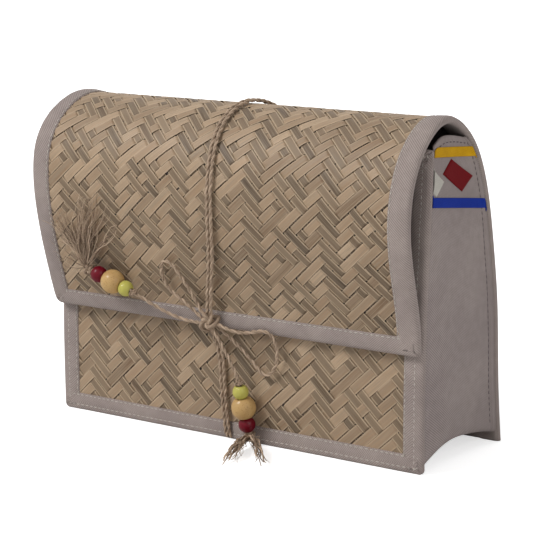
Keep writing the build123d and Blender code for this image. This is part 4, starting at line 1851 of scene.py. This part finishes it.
@dataclass
class WoundKnot:
    """A tight knot: a trefoil of twine, with smaller ones turned inside it.

    The trefoil is (sin t + 2 sin 2t, cos t - 2 cos 2t, -sin 3t), scaled to the knot's box.
    """

    name: str
    node: Optional[str]
    thickness: float
    turns: int = 2
    swell: float = 1.0
    place: Optional[tuple[float, float, float]] = None
    size: float = 4.0
    points: int = 96
    shrink: float = 0.38

    def build(self, wardrobe: Wardrobe) -> bpy.types.Object:
        """The knot, in its solid's place or at a place of its own.

        Args:
            wardrobe: the finishes.

        Returns:
            The knot.
        """
        if self.node is None:
            middle, half = np.array(self.place), np.full(3, self.size / 2)
        else:
            low, high = (np.array(corner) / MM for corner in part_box(self.node))
            middle, half = (low + high) / 2, (high - low) / 2
        half = half * self.swell - self.thickness / 2
        t = np.linspace(0, 2 * np.pi, self.points, endpoint=False)
        trefoil = [np.sin(t) + 2 * np.sin(2 * t), -np.sin(3 * t) * 1.6, np.cos(t) - 2 * np.cos(2 * t)]
        across = np.array([0.13, 0.97, 0.2])
        parts = []
        for turn in range(self.turns):
            angle = turn * 1.1 + 0.4
            cosine, sine = math.cos(angle), math.sin(angle)
            spin = np.array([[cosine, 0, sine], [0, 1, 0], [-sine, 0, cosine]])
            loop = np.stack(trefoil, -1) @ spin.T
            loop = loop / np.abs(loop).max(axis=0) * half * (1.0 - self.shrink * turn) + middle
            parts.append(tube(loop, np.full(self.points, self.thickness / 2), across, 8,
                              0.4 + 0.25 * turn, True, 90.0 * turn))
        parts.append(fibres(*self._wisps(middle, half), 0.09, 77, wave=0.3))
        knot = joined(self.name, parts).make(wardrobe["jute_fibre"])
        if self.node is not None:
            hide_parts(self.node)
        return knot

    @staticmethod
    def _wisps(middle: np.ndarray, half: np.ndarray) -> tuple[np.ndarray, np.ndarray, np.ndarray]:
        """The few fibres that stand off the knot.

        Args:
            middle: the knot's middle.
            half: half its size.

        Returns:
            Their roots, tips and bends.
        """
        chance = np.random.default_rng(int(abs(middle.sum()) * 10))
        out = unit(chance.normal(size=(26, 3)))
        roots = middle + out * half * 0.8
        tips = roots + out * chance.uniform(0.8, 2.6, (26, 1)) * half.max() * 0.4
        return roots, tips, chance.normal(0, 0.3, (26, 3))


@dataclass
class Bead:
    """A turned bead: a ball faced off at both ends of its bore, its lips eased."""

    name: str
    node: str
    diameter: float
    length: float
    axis: np.ndarray
    finish: str
    slot: str
    bore: float = 2.4
    lip: float = 0.35
    sides: int = 56

    def build(self, wardrobe: Wardrobe) -> bpy.types.Object:
        """Turns the section round the bore.

        The section is an arc of the ball, a small arc at each lip, and the bore's straight wall.

        Args:
            wardrobe: the finishes.

        Returns:
            The bead.
        """
        low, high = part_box(self.node)
        middle = (np.array(low) + np.array(high)) / 2 / MM
        tilt = math.asin(self.length / self.diameter)
        theta = np.linspace(-tilt, tilt, 33)
        arc = np.stack([np.cos(theta), np.sin(theta)], 1) * self.diameter / 2
        turn = np.linspace(0, np.pi / 2, 6)[1:]
        mouth_radius = self.bore / 2 + self.lip
        end = self.length / 2
        flat = np.array([(arc[-1, 0] - 0.25, end + 0.02), (mouth_radius, end)])
        mouth = np.stack([mouth_radius - self.lip * np.sin(turn), end - self.lip * (1 - np.cos(turn))], 1)
        top = np.concatenate([flat, mouth])
        bottom = top[::-1] * np.array([1, -1])
        section = np.concatenate([arc, top, bottom])
        axis = unit(self.axis)
        first = unit(np.cross(axis, np.array([0.0, 0.0, 1.0])))
        second = np.cross(axis, first)
        angle = np.arange(self.sides) * 2 * np.pi / self.sides
        ring = first * np.cos(angle)[:, None] + second * np.sin(angle)[:, None]
        corners = middle + ring[:, None] * section[None, :, :1] + axis * section[None, :, 1:]
        faces, _ = grid_faces(self.sides, len(section), True, True)
        bead = Piece(self.name, corners.reshape(-1, 3), faces[:, ::-1]).make(wardrobe[self.finish])
        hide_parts(self.node)
        return bead


Point = tuple[float, float, float]
Route = tuple[Point, ...]


@dataclass(frozen=True)
class Spray:
    """Fibres that leave a frayed end together, for tips spread round one point."""

    tip: Point
    spread: float
    bend: Point
    count: int
    radius: float


@dataclass
class Tie:
    """The doubled twine round the bag, its bow, and its two beaded and tasselled ends."""

    flap: FlapSheet
    wrap: Route = (
        (-6.4, -37.2, 62.0), (-4.6, -39.6, 77.0), (-0.6, -43.3, 94.0), (0.6, -46.2, 111.0),
        (1.0, -47.1, 129.5), (-0.4, -42.0, 147.3), (-2.6, -30.2, 160.0), (-2.2, -16.0, 166.9),
        (0.6, -3.0, 167.2), (3.4, 10.6, 161.2), (4.4, 20.6, 151.6), (4.0, 28.5, 138.1),
        (3.0, 34.5, 120.2), (1.8, 40.2, 92.8), (0.6, 43.9, 66.0), (0.0, 46.4, 42.0),
        (-0.2, 47.9, 24.0), (-0.4, 48.9, 12.0), (-0.4, 49.5, 5.6), (-0.4, 49.5, 2.7),
        (-0.4, 48.2, 1.25), (-0.5, 45.0, 1.2), (-0.5, 39.0, 1.3), (-0.7, 28.0, 1.2),
        (-1.0, 8.0, 1.4), (-1.2, -10.0, 1.2), (-1.3, -19.5, 1.3), (-1.4, -24.5, 1.2),
        (-1.4, -27.6, 1.25), (-1.4, -28.9, 2.6), (-1.7, -29.2, 6.0), (-2.6, -29.1, 12.5),
        (-4.2, -28.9, 24.5), (-4.9, -29.2, 43.0), (-5.6, -33.0, 53.5), (-6.4, -36.8, 59.5),
    )
    loop_left: Route = (
        (-8.0, -38.2, 62.5), (-12.4, -37.8, 68.0), (-17.2, -40.0, 77.0), (-21.8, -42.2, 84.6),
        (-25.6, -43.4, 89.0), (-29.6, -43.6, 89.6), (-32.2, -42.4, 86.0), (-32.4, -40.8, 80.4),
        (-30.4, -39.2, 75.0), (-24.8, -38.0, 71.0), (-19.0, -37.6, 67.4), (-13.6, -37.4, 64.0),
        (-8.5, -37.4, 60.5),
    )
    loop_right: Route = (
        (-2.5, -37.6, 60.5), (5.0, -36.8, 57.6), (13.8, -35.6, 56.9), (21.5, -35.2, 59.0),
        (26.8, -34.6, 59.4), (29.6, -32.6, 55.6), (30.2, -31.0, 49.2), (29.2, -30.4, 42.8),
        (26.2, -30.2, 37.6), (21.8, -30.2, 36.0), (18.2, -30.4, 38.8), (12.2, -31.0, 45.0),
        (6.8, -32.8, 50.4), (1.0, -34.6, 56.0), (-4.0, -36.4, 59.0),
    )
    end_left: Route = (
        (-10.0, -37.2, 59.5), (-18.5, -36.4, 59.0), (-28.4, -35.8, 60.2), (-36.2, -36.8, 62.8),
        (-42.2, -39.4, 66.4), (-47.1, -42.3, 70.0), (-75.8, -44.9, 80.1),
    )
    end_down: Route = (
        (-4.2, -38.6, 58.5), (0.2, -38.4, 53.0), (3.8, -37.6, 46.6), (7.5, -37.2, 40.6),
        (10.4, -36.5, 34.8), (13.4, -31.3, 4.9),
    )
    beads: tuple[tuple[str, float, float, str], ...] = (
        ("red", 8.4, 7.4, "red_paint"),
        ("natural", 12.2, 10.0, "natural_wood"),
        ("yellow", 7.9, 6.4, "yellow_paint"),
    )
    left_sprays: tuple[Spray, ...] = (
        Spray((-99.0, -47.5, 105.0), 2.0, (1.0, 0.0, 2.0), 22, 0.3),
        Spray((-92.0, -48.5, 109.0), 2.0, (0.0, 0.0, 1.0), 18, 0.22),
        Spray((-75.0, -51.0, 120.0), 2.0, (-2.5, -1.0, 0.0), 24, 0.32),
        Spray((-69.0, -51.0, 120.0), 2.2, (-1.0, -1.0, 1.0), 22, 0.22),
        Spray((-60.0, -50.0, 116.0), 3.0, (-1.0, -1.0, 2.0), 14, 0.26),
        Spray((-53.0, -48.0, 105.0), 1.5, (0.0, -0.5, 1.5), 9, 0.3),
        Spray((-101.0, -43.0, 86.0), 1.0, (0.0, -1.0, -4.0), 3, 0.2),
        Spray((-85.0, -48.0, 104.0), 8.0, (0.0, -1.0, 2.0), 14, 0.2),
    )
    down_sprays: tuple[Spray, ...] = (
        Spray((27.0, -69.0, 1.4), 0.9, (-1.0, 0.0, 3.5), 8, 0.62),
        Spray((30.0, -67.0, 1.4), 1.2, (-1.5, 0.0, 3.5), 10, 0.25),
        Spray((21.0, -63.0, 1.4), 0.9, (1.5, 0.0, 3.0), 6, 0.6),
        Spray((23.0, -64.0, 1.4), 1.4, (1.0, 0.0, 3.0), 8, 0.25),
        Spray((45.0, -62.0, 1.4), 1.0, (0.0, 0.0, 4.0), 10, 0.62),
        Spray((41.0, -60.0, 1.4), 1.4, (1.0, 0.0, 3.0), 12, 0.25),
    )

    def strand(self, shift: float) -> list[Point]:
        """The wrap's route, moved along the bag for one strand."""
        return [(x + shift, y, z) for x, y, z in self.wrap]

    def off_the_flap(self, line: np.ndarray) -> np.ndarray:
        """Keeps points in front of the flap, by 0.35 to 0.5 mm so that no two lie level.

        Args:
            line: the points.

        Returns:
            The points, those behind that moved forward.
        """
        face = self.flap.front_y(line[..., 0], line[..., 2])
        clear = np.minimum(line[..., 1], face - 0.35 - 0.15 * np.abs(np.sin(line[..., 0] * 3)))
        return np.stack([line[..., 0], clear, line[..., 2]], -1)

    @staticmethod
    def tassel(name: str, node: str, root: Point, sprays: tuple[Spray, ...], keep_out: Callable,
               seed: int, wardrobe: Wardrobe) -> bpy.types.Object:
        """A frayed end: sprays of fibres from one root.

        Args:
            name, node: the piece and the solid that it stands for.
            root: where the fibres leave the knot.
            sprays: the fibres that go each way.
            keep_out: keeps fibres off what they lie on.
            seed: picks the fibres.
            wardrobe: the finishes.

        Returns:
            The tassel.
        """
        chance = np.random.default_rng(seed)
        start = np.array(root)
        parts = []
        for spray in sprays:
            each = (spray.count, 3)
            reach = chance.uniform(0.5, 1.0, (spray.count, 1)) ** 0.6
            tips = start + (np.array(spray.tip) + chance.normal(0, 1, each) * spray.spread - start) * reach
            roots = start + chance.normal(0, 0.45, each)
            bends = np.array(spray.bend) * chance.uniform(0.4, 1.2, (spray.count, 1))
            bends = bends + chance.normal(0, 0.9, each)
            parts.append(fibres(roots, tips, bends, spray.radius, seed + len(parts) + 1, keep_out, 1.5))
        tassel = joined(name, parts).make(wardrobe["jute_fibre"])
        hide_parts(node)
        return tassel

    def build(self, wardrobe: Wardrobe) -> None:
        """Makes every cord, knot, bead and tassel.

        Args:
            wardrobe: the finishes.
        """
        knot = WoundKnot("tie_knot_wound", "tie_knot", 1.9, turns=3).build(wardrobe)
        strung = {}
        for word, route in (("left", self.end_left), ("down", self.end_down)):
            axis = np.array(route[-2]) - np.array(route[-1])
            pieces = [
                Bead(f"{colour}_bead_{word}_turned", f"{colour}_bead_{word}", diameter, length, axis,
                     colour + "_bead", slot).build(wardrobe)
                for colour, diameter, length, slot in self.beads
            ]
            stopper = WoundKnot(f"stopper_{word}_wound", f"stopper_knot_{word}", 1.4, swell=1.5)
            pieces.append(stopper.build(wardrobe))
            stack = 2.1 + sum(bead[2] + 0.1 for bead in self.beads) + 1.4
            above = np.array(route[-1]) + unit(axis) * stack
            upper = WoundKnot(f"bead_knot_{word}_wound", None, 1.1, place=tuple(above), size=4.2)
            pieces.append(upper.build(wardrobe))
            strung[word] = pieces
        left = self.tassel("tassel_left_fibres", "tassel_left", (-78.0, -45.2, 81.2), self.left_sprays,
                           self.off_the_flap, 301, wardrobe)
        down = self.tassel("tassel_down_fibres", "tassel_down", (13.9, -31.6, 3.6), self.down_sprays,
                           above_floor, 302, wardrobe)
        strung["left"].append(left)
        strung["down"].append(down)
        half = TWINE_SPACING / 2
        side, front, aslant = (1.0, 0.0, 0.0), (0.0, 1.0, 0.0), (0.9, 0.4, 0.0)
        left_strand, right_strand = self.strand(-half), self.strand(half)
        bow_left, bow_right = list(self.loop_left), list(self.loop_right)
        end_left, end_down = list(self.end_left), list(self.end_down)
        cords = (
            (Cord("wrap_left_twine", "wrap_twine_left", left_strand, side, "knot", "taut", 51), [knot]),
            (Cord("wrap_right_twine", "wrap_twine_right", right_strand, side, "knot", "taut", 52), []),
            (Cord("bow_left_twine", "bow_loop_left", bow_left, front, "knot", "loose", 53, hairs=1.6), []),
            (Cord("bow_right_twine", "bow_loop_right", bow_right, front, "knot", "loose", 54, hairs=1.9), []),
            (Cord("end_left_twine", "tie_end_left", end_left, front, "knot", "loose", 55), strung["left"]),
            (Cord("end_down_twine", "tie_end_down", end_down, aslant, "knot", "hanging", 56), strung["down"]),
        )
        for cord, pieces in cords:
            cord.build(wardrobe, pieces)


@dataclass
class Studio:
    """A pale floor, a white surround, soft lamps and the camera."""

    camera_place: Point = (0.56964, -0.79267, 0.26677)
    look_back: Point = (0.57088, -0.79952, 0.18671)
    focal_pixels: float = 1986.0
    image_pixels: float = 540.0
    sensor: float = 36.0
    floor_half: float = 6.0

    def camera(self) -> None:
        """Adds the camera and makes it the scene's own."""
        data = bpy.data.cameras.new("camera")
        data.sensor_width = self.sensor
        data.lens = self.sensor * self.focal_pixels / self.image_pixels
        data.clip_end = 20.0
        camera = bpy.data.objects.new("camera", data)
        camera.location = self.camera_place
        camera.rotation_euler = Vector(self.look_back).to_track_quat("Z", "Y").to_euler()
        bpy.context.scene.collection.objects.link(camera)
        bpy.context.scene.camera = camera

    @staticmethod
    def lamp(name: str, place: Point, aim: Point, size: float, power: float) -> None:
        """Adds a square soft lamp that faces a point.

        Args:
            name: the lamp's name.
            place: where it hangs, in metres.
            aim: the point it faces.
            size: its side.
            power: its light, in watts.
        """
        data = bpy.data.lights.new(name, "AREA")
        data.size = size
        data.energy = power
        lamp = bpy.data.objects.new(name, data)
        lamp.location = place
        lamp.rotation_euler = (Vector(place) - Vector(aim)).to_track_quat("Z", "Y").to_euler()
        bpy.context.scene.collection.objects.link(lamp)

    @staticmethod
    def white_to_view(graph: Graph, shader: bpy.types.NodeSocket) -> bpy.types.NodeSocket:
        """White for the camera and for reflections, and the given shader for everything else.

        Args:
            graph: the nodes to add to.
            shader: what lights the bag.

        Returns:
            The mixed shader.
        """
        path = graph.add("LightPath")
        seen = graph.math("MAXIMUM", path.outputs["Is Camera Ray"], path.outputs["Is Glossy Ray"])
        seen = graph.math("MAXIMUM", seen, path.outputs["Is Transmission Ray"])
        white = graph.add("Background", Strength=1.0, Color=(1.0, 1.0, 1.0, 1.0))
        mixed = graph.add("MixShader")
        graph.feed(mixed.inputs[0], seen)
        graph.feed(mixed.inputs[1], shader)
        graph.feed(mixed.inputs[2], white.outputs[0])
        return mixed.outputs[0]

    def world(self) -> None:
        """Lights the bag evenly from all round, and shows white."""
        world = bpy.data.worlds.new("studio")
        bpy.context.scene.world = world
        world.use_nodes = True
        world.node_tree.nodes.clear()
        graph = Graph(world.node_tree)
        air = graph.add("Background", Strength=0.26, Color=(1.0, 1.0, 1.0, 1.0))
        shown = self.white_to_view(graph, air.outputs[0])
        graph.add("OutputWorld", Surface=shown)

    def floor(self) -> None:
        """A wide pale floor that keeps the bag's shadow, and glows for the camera as painted light, less near
        the bag and more far from it.
        """
        mesh = bpy.data.meshes.new("studio_floor")
        half = self.floor_half
        corners = [(-half, -half, 0), (half, -half, 0), (half, half, 0), (-half, half, 0)]
        mesh.from_pydata(corners, [], [(0, 1, 2, 3)])
        material = bpy.data.materials.new("pale_floor")
        material.use_nodes = True
        material.node_tree.nodes.clear()
        graph = Graph(material.node_tree)
        shader = graph.add("BsdfPrincipled", Roughness=0.9, Base_Color=(0.86, 0.86, 0.86, 1.0))
        away = graph.add("VectorMath", {"operation": "LENGTH"})
        graph.feed(away.inputs[0], graph.add("TexCoord").outputs["Object"])
        # Painted light: a glow seen only by the camera, from 0.62 near the bag to 1.0 far off, so the far
        # floor shows white where the lamps fall off.
        rise = graph.map_range(away.outputs["Value"], 0.3, 1.3, 0.62, 1.0)
        glow = graph.add("Emission", Strength=rise, Color=(1.0, 1.0, 1.0, 1.0))
        path = graph.add("LightPath")
        shown = graph.add("MixShader")
        both = graph.add("AddShader")
        graph.feed(both.inputs[0], shader.outputs[0])
        graph.feed(both.inputs[1], glow.outputs[0])
        graph.feed(shown.inputs[0], path.outputs["Is Camera Ray"])
        graph.feed(shown.inputs[1], shader.outputs[0])
        graph.feed(shown.inputs[2], both.outputs[0])
        graph.add("OutputMaterial", Surface=shown.outputs[0])
        mesh.materials.append(material)
        floor = bpy.data.objects.new("studio_floor", mesh)
        bpy.context.scene.collection.objects.link(floor)

    def build(self) -> None:
        """Adds everything round the bag."""
        self.camera()
        self.world()
        self.floor()
        centre = (0.0, 0.0, 0.08)
        self.lamp("key", (-0.75, -1.1, 1.35), centre, 0.6, 23.0)
        self.lamp("side", (1.6, -0.5, 0.9), centre, 1.2, 8.0)
        self.lamp("back", (0.3, 1.5, 1.2), centre, 1.0, 7.0)
        bpy.context.scene.view_settings.view_transform = "Standard"


def main() -> None:
    """Builds the scene in order."""
    logging.basicConfig(level=logging.INFO, format="%(name)s %(message)s")
    Studio().build()
    front, flap = FrontSheet(), FlapSheet()
    wardrobe = Wardrobe()
    Tie(flap).build(wardrobe)
    FrontPanel(front).build(wardrobe)
    BackAndFlap(flap).build(wardrobe)
    Gusset(front, flap).build(wardrobe)


if __name__ == "__main__":
    main()
